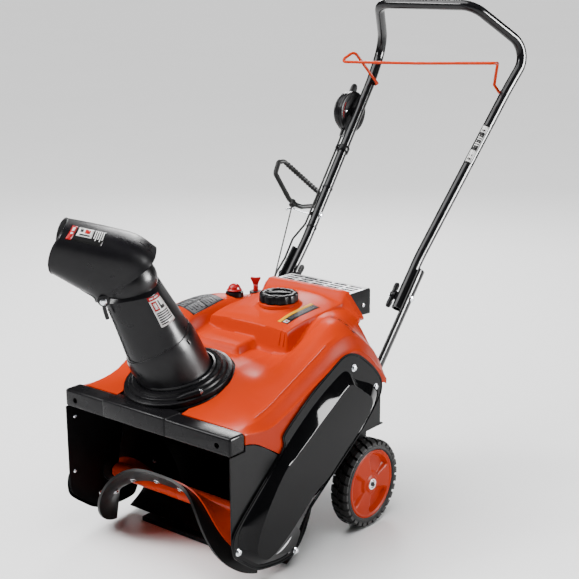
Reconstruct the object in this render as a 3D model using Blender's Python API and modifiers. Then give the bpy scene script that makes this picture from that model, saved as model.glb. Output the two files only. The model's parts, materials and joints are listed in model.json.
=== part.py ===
"""Single-stage snow blower: every sub-part is its own object, in metres, with +Z up.

The auger opening faces -Y, the handle is at +Y and the operator's left is +X.
Lengths below are in machine coordinates; the root empty moves the machine so that
the middle of its footprint is at the origin.
"""

from math import atan2, cos, pi, radians, sin, sqrt, tan

import bmesh
import bpy
from mathutils import Matrix, Vector

# ---- where the machine stands
ROOT = (0.0278, -0.2128, 0.0)

# ---- front end
BAR_HALF = 0.2365
BAR_FRONT = -0.300
BAR_BACK = -0.256
BAR_LOW = 0.3045
BAR_TOP = 0.3438
SHEET = 0.002
PLATE_IN = 0.2345

# ---- auger
AUGER_Y = -0.178
AUGER_Z = 0.122
AUGER_R = 0.111
AUGER_END = 0.215
SHAFT_R = 0.010
PADDLE_MID = radians(44)
PADDLE_WRAP = radians(134)

# ---- chute
RING_AT = (-0.030, -0.165, 0.383)
RING_TILT = radians(15)
RING_R = 0.1175
CHUTE_TURN = radians(50)
DEFLECTOR_PIVOT = (0.100, 0.226)
WALL = 0.0025

# ---- drive
CRANK_Y = 0.070
CRANK_Z = 0.300
BELT_X = 0.2455

# ---- wheels
WHEEL_Y = 0.154
WHEEL_Z = 0.100
WHEEL_R = 0.100
WHEEL_OUT = 0.250
WHEEL_IN = 0.206
RIM_R = 0.078

# ---- handle
TUBE_R = 0.0125
TUBE_WALL = 0.0016
JOINT = (0.168, 0.378, 0.470)
SPREAD_FROM = 0.548
BAIL_AT = (0.203, 0.763, 0.912)
KINK = (0.219, 0.843, 1.008)
TOP = (0.138, 0.705, 1.1190)
LOWER_X = 0.1881
LOWER_FLAT = 0.56
CONTROL_AT = (-0.2175, 0.710, 0.838)
ROPE_EYE = (-0.247, 0.482, 0.609)
ROPE_END = (-0.100, 0.155, 0.300)


# ---------------------------------------------------------------- helpers
def clear_scene():
    for obj in list(bpy.data.objects):
        bpy.data.objects.remove(obj, do_unlink=True)
    for coll in list(bpy.data.collections):
        bpy.data.collections.remove(coll)


def collection(name):
    coll = bpy.data.collections.new(name)
    bpy.context.scene.collection.children.link(coll)
    return coll


def material(name, colour, roughness, metallic=0.0):
    mat = bpy.data.materials.new(name)
    mat.use_nodes = True
    shader = mat.node_tree.nodes["Principled BSDF"]
    shader.inputs["Base Color"].default_value = (*colour, 1.0)
    shader.inputs["Roughness"].default_value = roughness
    shader.inputs["Metallic"].default_value = metallic
    mat.diffuse_color = (*colour, 1.0)
    return mat


def place(obj, at, parent, coll, mat=None):
    coll.objects.link(obj)
    obj.parent = parent
    obj.location = at
    if mat is not None:
        obj.data.materials.append(mat)
    return obj


def shade(obj, angle=38):
    mesh = obj.data
    mesh.shade_smooth()
    mesh.set_sharp_from_angle(angle=radians(angle))
    return obj


def mesh_object(name, verts, faces, mat, at=(0, 0, 0), parent=None, coll=None):
    mesh = bpy.data.meshes.new(name)
    mesh.from_pydata([tuple(v) for v in verts], [], faces)
    bm = bmesh.new()
    bm.from_mesh(mesh)
    bmesh.ops.recalc_face_normals(bm, faces=bm.faces)
    bm.to_mesh(mesh)
    bm.free()
    obj = bpy.data.objects.new(name, mesh)
    return shade(place(obj, at, parent or ROOT_EMPTY, coll or PARTS, mat))


def box(name, low, high, mat, bevel=0.0, segments=2, at=None, parent=None, coll=None):
    low = Vector(low)
    high = Vector(high)
    at = Vector(at) if at is not None else (low + high) / 2
    mesh = bpy.data.meshes.new(name)
    bm = bmesh.new()
    bmesh.ops.create_cube(bm, size=1.0)
    bmesh.ops.scale(bm, vec=high - low, verts=bm.verts)
    bmesh.ops.translate(bm, vec=(low + high) / 2 - at, verts=bm.verts)
    bm.to_mesh(mesh)
    bm.free()
    obj = bpy.data.objects.new(name, mesh)
    place(obj, at, parent or ROOT_EMPTY, coll or PARTS, mat)
    if bevel:
        mod = obj.modifiers.new("edges", "BEVEL")
        mod.width = bevel
        mod.segments = segments
    return shade(obj)


def turned(name, profile, mat, at, axis="X", steps=32, parent=None, coll=None):
    """A lathe part: profile is (radius, height) pairs round a closed section."""
    verts = []
    faces = []
    count = len(profile)
    for i in range(steps):
        angle = 2 * pi * i / steps
        for r, h in profile:
            verts.append((r * cos(angle), r * sin(angle), h))
    for i in range(steps):
        a = i * count
        b = ((i + 1) % steps) * count
        for j in range(count):
            k = (j + 1) % count
            if profile[j][0] < 1e-6 and profile[k][0] < 1e-6:
                continue
            faces.append((a + j, b + j, b + k, a + k))
    mesh = bpy.data.meshes.new(name)
    mesh.from_pydata(verts, [], faces)
    bm = bmesh.new()
    bm.from_mesh(mesh)
    bmesh.ops.remove_doubles(bm, verts=bm.verts, dist=1e-6)
    bmesh.ops.dissolve_degenerate(bm, edges=bm.edges, dist=1e-7)
    turn = {"X": Matrix.Rotation(pi / 2, 3, "Y"), "Z": Matrix.Identity(3)}[axis]
    bmesh.ops.transform(bm, matrix=turn.to_4x4(), verts=bm.verts)
    bmesh.ops.recalc_face_normals(bm, faces=bm.faces)
    bm.to_mesh(mesh)
    bm.free()
    obj = bpy.data.objects.new(name, mesh)
    return shade(place(obj, at, parent or ROOT_EMPTY, coll or PARTS, mat))


def rod(name, radius, start, end, mat, steps=20, bevel=0.0, coll=None):
    """A round bar along X from start to end."""
    half = (end - start) / 2
    b = bevel
    profile = [(0, -half), (radius - b, -half), (radius, -half + b)]
    profile += [(radius, half - b), (radius - b, half), (0, half)]
    if not b:
        profile = [(0, -half), (radius, -half), (radius, half), (0, half)]
    return profile, (start + end) / 2


def rounded(points, radii, steps=5):
    """Points of a polyline with each inner corner replaced by an arc."""
    points = [Vector(p) for p in points]
    out = [points[0]]
    for i in range(1, len(points) - 1):
        radius = radii[i - 1] if isinstance(radii, (list, tuple)) else radii
        a = (points[i - 1] - points[i]).normalized()
        b = (points[i + 1] - points[i]).normalized()
        half = a.angle(b) / 2
        if radius <= 0 or half > radians(89):
            out.append(points[i])
            continue
        cut = radius / tan(half)
        centre = points[i] + (a + b).normalized() * (radius / sin(half))
        start = points[i] + a * cut - centre
        end = points[i] + b * cut - centre
        total = start.angle(end)
        axis = start.cross(end).normalized()
        for k in range(steps + 1):
            out.append(centre + Matrix.Rotation(total * k / steps, 3, axis) @ start)
    out.append(points[-1])
    return out


def tube(name, points, radius, mat, at=(0, 0, 0), parent=None, res=2, closed=False, wall=0.0):
    """A round bar along a polyline with flat ends, or a pipe if it has a wall."""
    at = Vector(at)
    curve = bpy.data.curves.new(name, "CURVE")
    curve.dimensions = "3D"
    curve.bevel_depth = radius
    curve.bevel_resolution = res
    curve.use_fill_caps = not closed and not wall
    spline = curve.splines.new("POLY")
    spline.points.add(len(points) - 1)
    for item, point in zip(spline.points, points):
        item.co = (*(Vector(point) - at), 1.0)
    spline.use_cyclic_u = closed
    helper = bpy.data.objects.new(name + "_line", curve)
    PARTS.objects.link(helper)
    graph = bpy.context.evaluated_depsgraph_get()
    mesh = bpy.data.meshes.new_from_object(helper.evaluated_get(graph))
    bpy.data.objects.remove(helper, do_unlink=True)
    bm = bmesh.new()
    bm.from_mesh(mesh)
    bmesh.ops.remove_doubles(bm, verts=bm.verts, dist=1e-6)
    bmesh.ops.recalc_face_normals(bm, faces=bm.faces)
    bm.to_mesh(mesh)
    bm.free()
    mesh.name = name
    mesh.materials.clear()
    obj = bpy.data.objects.new(name, mesh)
    if wall:
        thicken(obj, wall)
    return shade(place(obj, at, parent or ROOT_EMPTY, PARTS, mat))


def plate(name, outline, x_low, x_high, mat, holes=(), at=(0, 0, 0), bevel=0.0, coll=None):
    """A flat part across X: outline is (y, z) pairs, holes are (y, z, radius)."""
    at = Vector(at)
    verts = [(x_low - at.x, y - at.y, z - at.z) for y, z in outline]
    verts += [(x_high - at.x, y - at.y, z - at.z) for y, z in outline]
    n = len(outline)
    faces = [tuple(range(n)), tuple(range(n, 2 * n))]
    faces += [(i, (i + 1) % n, n + (i + 1) % n, n + i) for i in range(n)]
    obj = mesh_object(name, verts, faces, mat, at=at, coll=coll)
    for k, (y, z, r) in enumerate(holes):
        hole = rod_cutter(f"{name}_hole_{k}", r, (x_low + x_high) / 2, y, z, 0.02)
        cut(obj, hole)
    if bevel:
        mod = obj.modifiers.new("edges", "BEVEL")
        mod.width = bevel
        mod.segments = 1
    return obj


def rod_cutter(name, radius, x, y, z, half, steps=24):
    profile = [(0, -half), (radius, -half), (radius, half), (0, half)]
    return turned(name, profile, None, (x, y, z), steps=steps, coll=CUTTERS)


def cut(obj, cutter, operation="DIFFERENCE"):
    cutter.hide_render = True
    cutter.display_type = "WIRE"
    mod = obj.modifiers.new(cutter.name, "BOOLEAN")
    mod.object = cutter
    mod.operation = operation
    mod.solver = "EXACT"
    return obj


def thicken(obj, thickness, offset=-1.0):
    mod = obj.modifiers.new("thickness", "SOLIDIFY")
    mod.thickness = thickness
    mod.offset = offset
    mod.use_even_offset = True
    return obj


def skin(rings, closed_ring=True, cap_ends=False):
    """Vertices and faces of a surface through rings with equal counts."""
    n = len(rings[0])
    verts = [v for ring in rings for v in ring]
    faces = []
    last = n if closed_ring else n - 1
    for i in range(len(rings) - 1):
        for j in range(last):
            k = (j + 1) % n
            faces.append((i * n + j, i * n + k, (i + 1) * n + k, (i + 1) * n + j))
    if cap_ends:
        faces.append(tuple(range(n)))
        faces.append(tuple(range((len(rings) - 1) * n, len(rings) * n)))
    return verts, faces


def arc(y, z, radius, start, end, steps):
    """(y, z) points of an arc, angles in degrees from +Y towards +Z."""
    out = []
    for i in range(steps + 1):
        a = radians(start + (end - start) * i / steps)
        out.append((y + radius * cos(a), z + radius * sin(a)))
    return out


def mirrored(points):
    return [(-p[0], p[1], p[2]) for p in points]


# ---------------------------------------------------------------- front end
def auger_housing(mats):
    """Curved back of the intake, from the scraper up and forward to the bar."""
    section = [(-0.262, 0.3006), (-0.060, 0.3547)]
    section += [(-0.043, 0.352), (-0.032, 0.335), (-0.028, 0.310), (-0.028, 0.250)]
    section += [(-0.030, 0.190), (-0.036, 0.140), (-0.048, 0.098), (-0.068, 0.060)]
    section += [(-0.095, 0.032), (-0.128, 0.0125)]
    half = PLATE_IN - 0.0014
    rings = [[(x, y, z) for y, z in section] for x in (-half, half)]
    verts, faces = skin(rings, closed_ring=False)
    obj = mesh_object("auger_housing", verts, faces, mats["black_steel"])
    # solid side of the sheet is inside the machine's skin, away from the auger
    thicken(obj, SHEET, offset=0.0)
    hole = turned(
        "housing_hole",
        [(0, -0.10), (0.092, -0.10), (0.092, 0.02), (0, 0.02)],
        None,
        RING_AT,
        axis="Z",
        steps=40,
        coll=CUTTERS,
    )
    hole.rotation_euler = (RING_TILT, 0, 0)
    cut(obj, hole)
    return obj


def side_plate(name, side, mats):
    outline = [(-0.300, 0.3038), (-0.300, 0.118), (-0.294, 0.100), (-0.262, 0.072)]
    outline += [(-0.222, 0.046), (-0.180, 0.036), (-0.134, 0.034), (-0.110, 0.040)]
    outline += [(-0.101, 0.052), (-0.089, 0.076), (-0.065, 0.113), (0.002, 0.159)]
    outline += [(0.066, 0.202), (0.100, 0.228), (0.119, 0.243), (0.119, 0.276)]
    outline += [(0.055, 0.276), (0.042, 0.225), (-0.050, 0.225), (-0.120, 0.235)]
    outline += [(-0.157, 0.266), (-0.182, 0.284), (-0.200, 0.2955), (-0.220, 0.306)]
    outline += [(-0.238, 0.3125), (-0.2553, 0.3165), (-0.2553, 0.3038)]
    low, high = sorted((side * PLATE_IN, side * (PLATE_IN + SHEET)))
    holes = [(AUGER_Y, AUGER_Z, 0.0125)]
    return plate(name, outline, low, high, mats["black_steel"], holes=holes)


def front_cap(mats):
    """Bar across the intake, its wider middle and the seat of the chute ring."""
    obj = box(
        "front_cap",
        (-BAR_HALF, BAR_FRONT, BAR_LOW),
        (BAR_HALF, BAR_BACK, BAR_TOP),
        mats["black_plastic"],
        bevel=0.004,
    )
    middle = box(
        "cap_middle",
        (-0.119, BAR_FRONT - 0.0025, BAR_LOW + 0.001),
        (0.063, -0.254, BAR_TOP + 0.003),
        None,
        bevel=0.005,
        coll=CUTTERS,
    )
    cut(obj, middle, "UNION")
    bridge = box("cap_bridge", (-0.114, -0.260, 0.3150), (0.058, -0.235, 0.3462), None, coll=CUTTERS)
    cut(obj, bridge, "UNION")
    outer = [(0.1005, -0.0490), (0.1210, -0.0490), (0.1210, -0.0180), (0.1170, -0.0128)]
    outer += [(0.1005, -0.0128)]
    seat = turned("cap_seat", outer, None, RING_AT, axis="Z", steps=48, coll=CUTTERS)
    seat.rotation_euler = (RING_TILT, 0, 0)
    cut(obj, seat, "UNION")
    well = turned(
        "cap_well",
        [(0, -0.060), (0.1003, -0.060), (0.1003, 0.05), (0, 0.05)],
        None,
        RING_AT,
        axis="Z",
        steps=48,
        coll=CUTTERS,
    )
    well.rotation_euler = (RING_TILT, 0, 0)
    cut(obj, well)
    above = box(
        "cap_clear",
        (-0.130, -0.130, -0.0126),
        (0.130, 0.130, 0.060),
        None,
        at=(0, 0, 0),
        coll=CUTTERS,
    )
    above.location = RING_AT
    above.rotation_euler = (RING_TILT, 0, 0)
    cut(obj, above)
    for k, side in enumerate((-1, 1)):
        hole = turned(
            f"cap_bolt_hole_{k}",
            [(0, -0.012), (0.0065, -0.012), (0.0065, 0.012), (0, 0.012)],
            None,
            (side * 0.202, BAR_FRONT, 0.3225),
            axis="Z",
            steps=16,
            coll=CUTTERS,
        )
        hole.rotation_euler = (pi / 2, 0, 0)
        cut(obj, hole)
    return obj


def scraper_bar(mats):
    return box(
        "scraper_bar",
        (-0.1720, -0.150, 0.0),
        (0.1720, -0.120, 0.0108),
        mats["black_steel"],
        bevel=0.001,
        segments=1,
    )


def chute_ring(mats):
    """Fixed ring that holds the flange of the chute down."""
    section = [(0.0865, -0.0120), (0.1160, -0.0120), (RING_R, -0.0105), (RING_R, -0.0015)]
    section += [(0.1155, 0.0005), (0.1045, 0.0030), (0.1010, 0.0105), (0.0990, 0.0120)]
    section += [(0.0900, 0.0120), (0.0865, 0.0085)]
    obj = turned(
        "chute_ring", section, mats["black_plastic"], RING_AT, axis="Z", steps=48
    )
    obj.rotation_euler = (RING_TILT, 0, 0)
    boss = turned(
        "ring_boss",
        [(0, -0.018), (0.0085, -0.018), (0.0085, 0.020), (0, 0.020)],
        None,
        (0.115, 0.0, 0.002),
        axis="Z",
        steps=16,
        coll=CUTTERS,
    )
    boss.parent = obj
    boss.location = (0.100, -0.045, 0.003)
    boss.rotation_euler = (radians(-78), 0, radians(-28))
    cut(obj, boss, "UNION")
    return obj


# ---------------------------------------------------------------- auger
def paddle_angle(s):
    return PADDLE_MID - PADDLE_WRAP * (abs(s) / 0.22) ** 3.17


def flight_point(s, r, turn):
    """A point of the twisted blade, in auger coordinates (axis along X)."""
    a = paddle_angle(s) + turn
    return Vector((s, -r * cos(a), r * sin(a)))


def flight_normal(s, r, turn):
    e = 1e-4
    along = flight_point(s + e, r, turn) - flight_point(s - e, r, turn)
    out = flight_point(s, r + e, turn) - flight_point(s, r - e, turn)
    return along.cross(out).normalized()


def blade(name, inner, outer, turn, offset, thickness, mat, rows=60, coll=None):
    """A solid twisted band between radius inner(s) and outer, pushed off by offset."""
    top = []
    low = []
    for i in range(rows + 1):
        s = AUGER_END * sin(pi / 2 * (2 * i / rows - 1))
        for k in range(3):
            r = inner(s) + (outer(s) - inner(s)) * k / 2
            n = flight_normal(s, r, turn)
            top.append(flight_point(s, r, turn) + n * (offset + thickness / 2))
            low.append(flight_point(s, r, turn) + n * (offset - thickness / 2))
    rings = []
    for i in range(rows + 1):
        a = i * 3
        rings.append([top[a], top[a + 1], top[a + 2], low[a + 2], low[a + 1], low[a]])
    verts, faces = skin(rings, closed_ring=True, cap_ends=True)
    return mesh_object(name, verts, faces, mat, at=(0, AUGER_Y, AUGER_Z), coll=coll)


def auger(mats):
    end = 0.2525
    profile, mid = rod("", SHAFT_R, -0.2445, end, None, bevel=0.001)
    turned("auger_shaft", profile, mats["steel"], (mid, AUGER_Y, AUGER_Z), steps=20)
    hub = [(SHAFT_R + 0.0003, -0.216), (0.0165, -0.216), (0.0165, 0.216)]
    hub += [(SHAFT_R + 0.0003, 0.216)]
    core = turned("auger_core", hub, mats["orange_steel"], (0, AUGER_Y, AUGER_Z), steps=24)
    for k, turn in enumerate((0.0, pi)):
        wing = blade(
            f"core_wing_{k}",
            lambda s: 0.0135,
            lambda s: 0.084 - 0.012 * (abs(s) / AUGER_END) ** 2,
            turn,
            0.0,
            0.003,
            None,
            coll=CUTTERS,
        )
        cut(core, wing, "UNION")
    for name, turn in (("auger_paddle_front", 0.0), ("auger_paddle_rear", pi)):
        blade(
            name,
            lambda s: 0.056 - 0.026 * (abs(s) / AUGER_END) ** 2,
            lambda s: AUGER_R,
            turn,
            0.0064,
            0.006,
            mats["paddle_rubber"],
        )
    for name, side in (("auger_bearing_left", 1), ("auger_bearing_right", -1)):
        ring = [(SHAFT_R + 0.0003, -0.006), (0.028, -0.006), (0.028, -0.002)]
        ring += [(0.017, 0.006), (SHAFT_R + 0.0003, 0.006)]
        if side > 0:
            ring = [(r, -h) for r, h in ring]
        at = (side * (PLATE_IN - 0.0065), AUGER_Y, AUGER_Z)
        turned(name, ring, mats["black_steel"], at, steps=24)


def pulley(name, outer, at, bore, mat, steps=32, half=0.0058):
    """A grooved pulley on X; the belt runs in its V."""
    groove = outer - 0.007
    section = [(bore, -half), (outer, -half), (outer, -half + 0.001), (groove, -0.0036)]
    section += [(groove, 0.0036), (outer, half - 0.001), (outer, half), (bore, half)]
    return turned(name, section, mat, at, steps=steps)


def drive(mats, side):
    big = 0.060
    small = 0.024
    pulley("auger_pulley", big, (BELT_X, AUGER_Y, AUGER_Z), SHAFT_R + 0.0003, mats["steel"])
    pulley("crank_pulley", small, (BELT_X, CRANK_Y, CRANK_Z), 0.0073, mats["steel"], 24)
    belt(mats, big - 0.0065, small - 0.0065)
    # crankshaft with its journal and flywheel end
    section = [(0, -0.1905), (0.007, -0.1905), (0.007, -0.006), (0.007, 0.0), (0, 0.0)]
    section = [(0, -0.366), (0.007, -0.366), (0.007, 0.0), (0, 0.0)]
    turned("crankshaft", section, mats["steel"], (0.2525, CRANK_Y, CRANK_Z), steps=20)
    idler(mats, side)


def belt(mats, big, small):
    """Flat-sided belt round both pulleys."""
    dy = CRANK_Y - AUGER_Y
    dz = CRANK_Z - AUGER_Z
    span = sqrt(dy * dy + dz * dz)
    lean = atan2(dz, dy)

    def loop(extra):
        r1 = big + extra
        r2 = small + extra
        open_angle = math_acos((r1 - r2) / span)
        out = []
        for i in range(17):
            a = lean + open_angle + (2 * pi - 2 * open_angle) * i / 16
            out.append((AUGER_Y + r1 * cos(a), AUGER_Z + r1 * sin(a)))
        for i in range(11):
            a = lean - open_angle + 2 * open_angle * i / 10
            out.append((CRANK_Y + r2 * cos(a), CRANK_Z + r2 * sin(a)))
        return out

    inner = loop(0.0)
    outer = loop(0.0058)
    rings = []
    for (y0, z0), (y1, z1) in zip(inner, outer):
        rings.append(
            [
                (BELT_X - 0.0030, y0, z0),
                (BELT_X + 0.0030, y0, z0),
                (BELT_X + 0.0038, y1, z1),
                (BELT_X - 0.0038, y1, z1),
            ]
        )
    rings.append(rings[0])
    verts, faces = skin(rings, closed_ring=True)
    obj = mesh_object("drive_belt", verts, faces, mats["belt_rubber"])
    bm = bmesh.new()
    bm.from_mesh(obj.data)
    bmesh.ops.remove_doubles(bm, verts=bm.verts, dist=1e-6)
    bmesh.ops.recalc_face_normals(bm, faces=bm.faces)
    bm.to_mesh(obj.data)
    bm.free()
    return obj


def math_acos(value):
    return pi / 2 - atan2(value, sqrt(1 - value * value))


IDLER_PIVOT = (0.105, 0.262)
IDLER_WHEEL = (0.0633, 0.236)


def idler(mats, side):
    """Tension arm with its roller, on a stud of the left side plate."""
    py, pz = IDLER_PIVOT
    wy, wz = IDLER_WHEEL
    stud = rod_cutter("idler_stud", 0.0055, PLATE_IN + 0.011, py, pz, 0.010, 16)
    cut(side, stud, "UNION")
    length = sqrt((wy - py) ** 2 + (wz - pz) ** 2)
    lean = atan2(wz - pz, wy - py)
    outline = []
    for i in range(9):
        a = lean + pi / 2 + pi * i / 8
        outline.append((py + 0.010 * cos(a), pz + 0.010 * sin(a)))
    for i in range(9):
        a = lean - pi / 2 + pi * i / 8
        y = py + length * cos(lean)
        outline.append((y + 0.008 * cos(a), pz + length * sin(lean) + 0.008 * sin(a)))
    arm = plate(
        "idler_arm",
        outline,
        0.2512,
        0.2542,
        mats["steel"],
        holes=[(py, pz, 0.0058)],
        at=(0.2527, py, pz),
    )
    pin = turned(
        "idler_pin",
        [(0, -0.007), (0.0035, -0.007), (0.0035, 0.007), (0, 0.007)],
        None,
        (0.2467, wy, wz),
        steps=16,
        coll=CUTTERS,
    )
    cut(arm, pin, "UNION")
    ring = [(0.0038, -0.0042), (0.0150, -0.0042), (0.0150, 0.0042), (0.0038, 0.0042)]
    turned("idler_roller", ring, mats["black_plastic"], (BELT_X, wy, wz), steps=20)


# ---------------------------------------------------------------- chute
def chute_frame():
    """Empty on the turning axis: its Z is the axis and its X the throwing side."""
    empty = bpy.data.objects.new("chute_axis", None)
    PARTS.objects.link(empty)
    empty.parent = ROOT_EMPTY
    turn = Matrix.Rotation(RING_TILT, 4, "X")
    turn = turn @ Matrix.Rotation(-pi / 2 - CHUTE_TURN, 4, "Z")
    empty.matrix_local = Matrix.Translation(RING_AT) @ turn
    return empty


def oval(u_low, u_high, half, w, power, count=24, rise=0.0):
    """A rounded section across the chute; rise tips its plane."""
    mid = (u_low + u_high) / 2
    reach = (u_high - u_low) / 2
    out = []
    for i in range(count):
        a = 2 * pi * i / count
        c = cos(a)
        s = sin(a)
        u = mid + reach * (abs(c) ** (2 / power)) * (1 if c >= 0 else -1)
        v = half * (abs(s) ** (2 / power)) * (1 if s >= 0 else -1)
        out.append((u, v, w - rise * (u - mid)))
    return out


def chute_body(mats, frame):
    rings = [
        oval(-0.0960, 0.0960, 0.0960, -0.0180, 2.0),
        oval(-0.0800, 0.0830, 0.0810, -0.0176, 2.0),
        oval(-0.0740, 0.0860, 0.0800, 0.0150, 2.0),
        oval(-0.0680, 0.0940, 0.0790, 0.0400, 2.15),
        oval(-0.0560, 0.0955, 0.0770, 0.0720, 2.3, rise=0.22),
        oval(-0.0480, 0.0950, 0.0755, 0.0860, 2.4, rise=0.28),
        oval(-0.0440, 0.0945, 0.0715, 0.0900, 2.5, rise=0.28),
        oval(-0.0340, 0.0985, 0.0655, 0.1300, 2.8, rise=0.15),
        oval(-0.0200, 0.1040, 0.0600, 0.1750, 3.1, rise=0.05),
        oval(-0.0080, 0.1095, 0.0565, 0.2120, 3.4),
        oval(-0.0100, 0.1100, 0.0562, 0.2350, 3.4),
        oval(-0.0125, 0.1100, 0.0560, 0.2600, 3.2),
        oval(-0.0105, 0.1080, 0.0550, 0.2850, 3.0),
    ]
    verts, faces = skin(rings)
    obj = mesh_object("chute_body", verts, faces, mats["chute_plastic"], parent=frame)
    thicken(obj, WALL)
    lid = box(
        "chute_mouth_cut",
        (-0.20, -0.12, 0.0),
        (0.20, 0.12, 0.12),
        None,
        at=(0, 0, 0),
        parent=frame,
        coll=CUTTERS,
    )
    lid.location = (0.050, 0, 0.2580)
    lid.rotation_euler = (0, radians(22), 0)
    cut(obj, lid)
    return obj


def deflector(mats, frame):
    pu, pw = DEFLECTOR_PIVOT
    tops = [(-0.0150, 0.283), (0.002, 0.306), (0.024, 0.325), (0.065, 0.346)]
    tops += [(0.109, 0.366), (0.153, 0.384)]
    lows = [(0.1250, 0.2140), (0.1290, 0.2240), (0.1385, 0.2350), (0.1570, 0.2510)]
    lows += [(0.1770, 0.2690), (0.1990, 0.2900)]
    widths = [0.0618, 0.0620, 0.0622, 0.0618, 0.0610, 0.0600]
    powers = [3.4, 3.2, 3.0, 2.8, 2.7, 2.7]
    rings = []
    for (u1, w1), (u0, w0), half, power in zip(tops, lows, widths, powers):
        mid = Vector((u0 + u1, 0, w0 + w1)) / 2
        up = Vector((u1 - u0, 0, w1 - w0)) / 2
        ring = []
        for i in range(28):
            a = 2 * pi * i / 28
            c = cos(a)
            s = sin(a)
            tall = (abs(c) ** (2 / power)) * (1 if c >= 0 else -1)
            wide = (abs(s) ** (2 / power)) * (1 if s >= 0 else -1)
            point = mid + up * tall
            ring.append((point.x - pu, half * wide, point.z - pw))
        rings.append(ring)
    verts, faces = skin(rings)
    obj = mesh_object(
        "deflector", verts, faces, mats["chute_plastic"], at=(pu, 0, pw), parent=frame
    )
    thicken(obj, WALL)
    for k, side in enumerate((-1, 1)):
        hole = turned(
            f"deflector_hole_{k}",
            [(0, -0.02), (0.0034, -0.02), (0.0034, 0.02), (0, 0.02)],
            None,
            (0, side * 0.058, 0),
            axis="Z",
            steps=12,
            parent=obj,
            coll=CUTTERS,
        )
        hole.rotation_euler = (pi / 2, 0, 0)
        cut(obj, hole)
    return obj


def pivot_bolts(mats, frame, body):
    pu, pw = DEFLECTOR_PIVOT
    for name, side in (("deflector_bolt_near", 1), ("deflector_bolt_far", -1)):
        section = [(0, 0.0), (0.0030, 0.0), (0.0030, 0.0095), (0.0075, 0.0095)]
        section += [(0.0070, 0.0130), (0.0040, 0.0148), (0, 0.0150)]
        obj = turned(
            name,
            section,
            mats["zinc"],
            (pu, side * 0.0535, pw),
            axis="Z",
            steps=16,
            parent=frame,
        )
        obj.rotation_euler = (-side * pi / 2, 0, 0)
        hole = turned(
            name + "_hole",
            [(0, -0.02), (0.0033, -0.02), (0.0033, 0.02), (0, 0.02)],
            None,
            (pu, side * 0.056, pw),
            axis="Z",
            steps=12,
            parent=frame,
            coll=CUTTERS,
        )
        hole.rotation_euler = (pi / 2, 0, 0)
        cut(body, hole)


# ---------------------------------------------------------------- hood and covers
HOOD_X = (-0.2365, -0.215, -0.180, -0.140, -0.125, -0.060, 0.0, 0.090, 0.105)
HOOD_X += (0.122, 0.145, 0.180, 0.215, 0.2365)
HOOD_ROWS = (
    # y, height of the lower edge, heights across HOOD_X
    (-0.2550, 0.3185, 0.338, 0.3425, 0.343, 0.343, 0.343, 0.343, 0.343, 0.343, 0.343, 0.343, 0.343, 0.343, 0.3425, 0.338),
    (-0.2200, 0.3082, 0.336, 0.346, 0.349, 0.352, 0.352, 0.352, 0.352, 0.352, 0.352, 0.352, 0.351, 0.348, 0.3435, 0.332),
    (-0.1820, 0.2862, 0.339, 0.352, 0.358, 0.363, 0.364, 0.364, 0.364, 0.364, 0.364, 0.364, 0.361, 0.356, 0.348, 0.330),
    (-0.1500, 0.2650, 0.345, 0.365, 0.371, 0.376, 0.377, 0.378, 0.378, 0.378, 0.377, 0.376, 0.373, 0.367, 0.357, 0.337),
    (-0.1000, 0.2365, 0.370, 0.396, 0.402, 0.402, 0.398, 0.396, 0.396, 0.396, 0.392, 0.389, 0.388, 0.387, 0.378, 0.355),
    (-0.0500, 0.2270, 0.402, 0.432, 0.440, 0.430, 0.414, 0.410, 0.410, 0.410, 0.396, 0.393, 0.402, 0.408, 0.399, 0.374),
    (0.0000, 0.2265, 0.426, 0.459, 0.466, 0.450, 0.420, 0.416, 0.416, 0.416, 0.398, 0.402, 0.424, 0.432, 0.420, 0.393),
    (0.0400, 0.2265, 0.433, 0.466, 0.473, 0.462, 0.452, 0.455, 0.455, 0.449, 0.412, 0.418, 0.446, 0.455, 0.441, 0.412),
    (0.1000, 0.2265, 0.431, 0.465, 0.476, 0.471, 0.473, 0.472, 0.470, 0.468, 0.440, 0.448, 0.468, 0.473, 0.451, 0.420),
    (0.1450, 0.2600, 0.412, 0.450, 0.470, 0.474, 0.480, 0.481, 0.481, 0.479, 0.462, 0.464, 0.470, 0.460, 0.436, 0.402),
    (0.2000, 0.3200, 0.370, 0.410, 0.445, 0.466, 0.481, 0.482, 0.482, 0.480, 0.471, 0.462, 0.450, 0.422, 0.394, 0.352),
    (0.2400, 0.3040, 0.322, 0.362, 0.407, 0.453, 0.482, 0.484, 0.484, 0.482, 0.472, 0.456, 0.432, 0.384, 0.346, 0.312),
    (0.2560, 0.3000, 0.310, 0.345, 0.390, 0.448, 0.493, 0.495, 0.495, 0.493, 0.481, 0.462, 0.425, 0.370, 0.330, 0.305),
    (0.2670, 0.3000, 0.308, 0.340, 0.385, 0.446, 0.493, 0.496, 0.496, 0.493, 0.481, 0.460, 0.420, 0.365, 0.325, 0.304),
)
CAP_AT = (0.0, 0.133)


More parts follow.
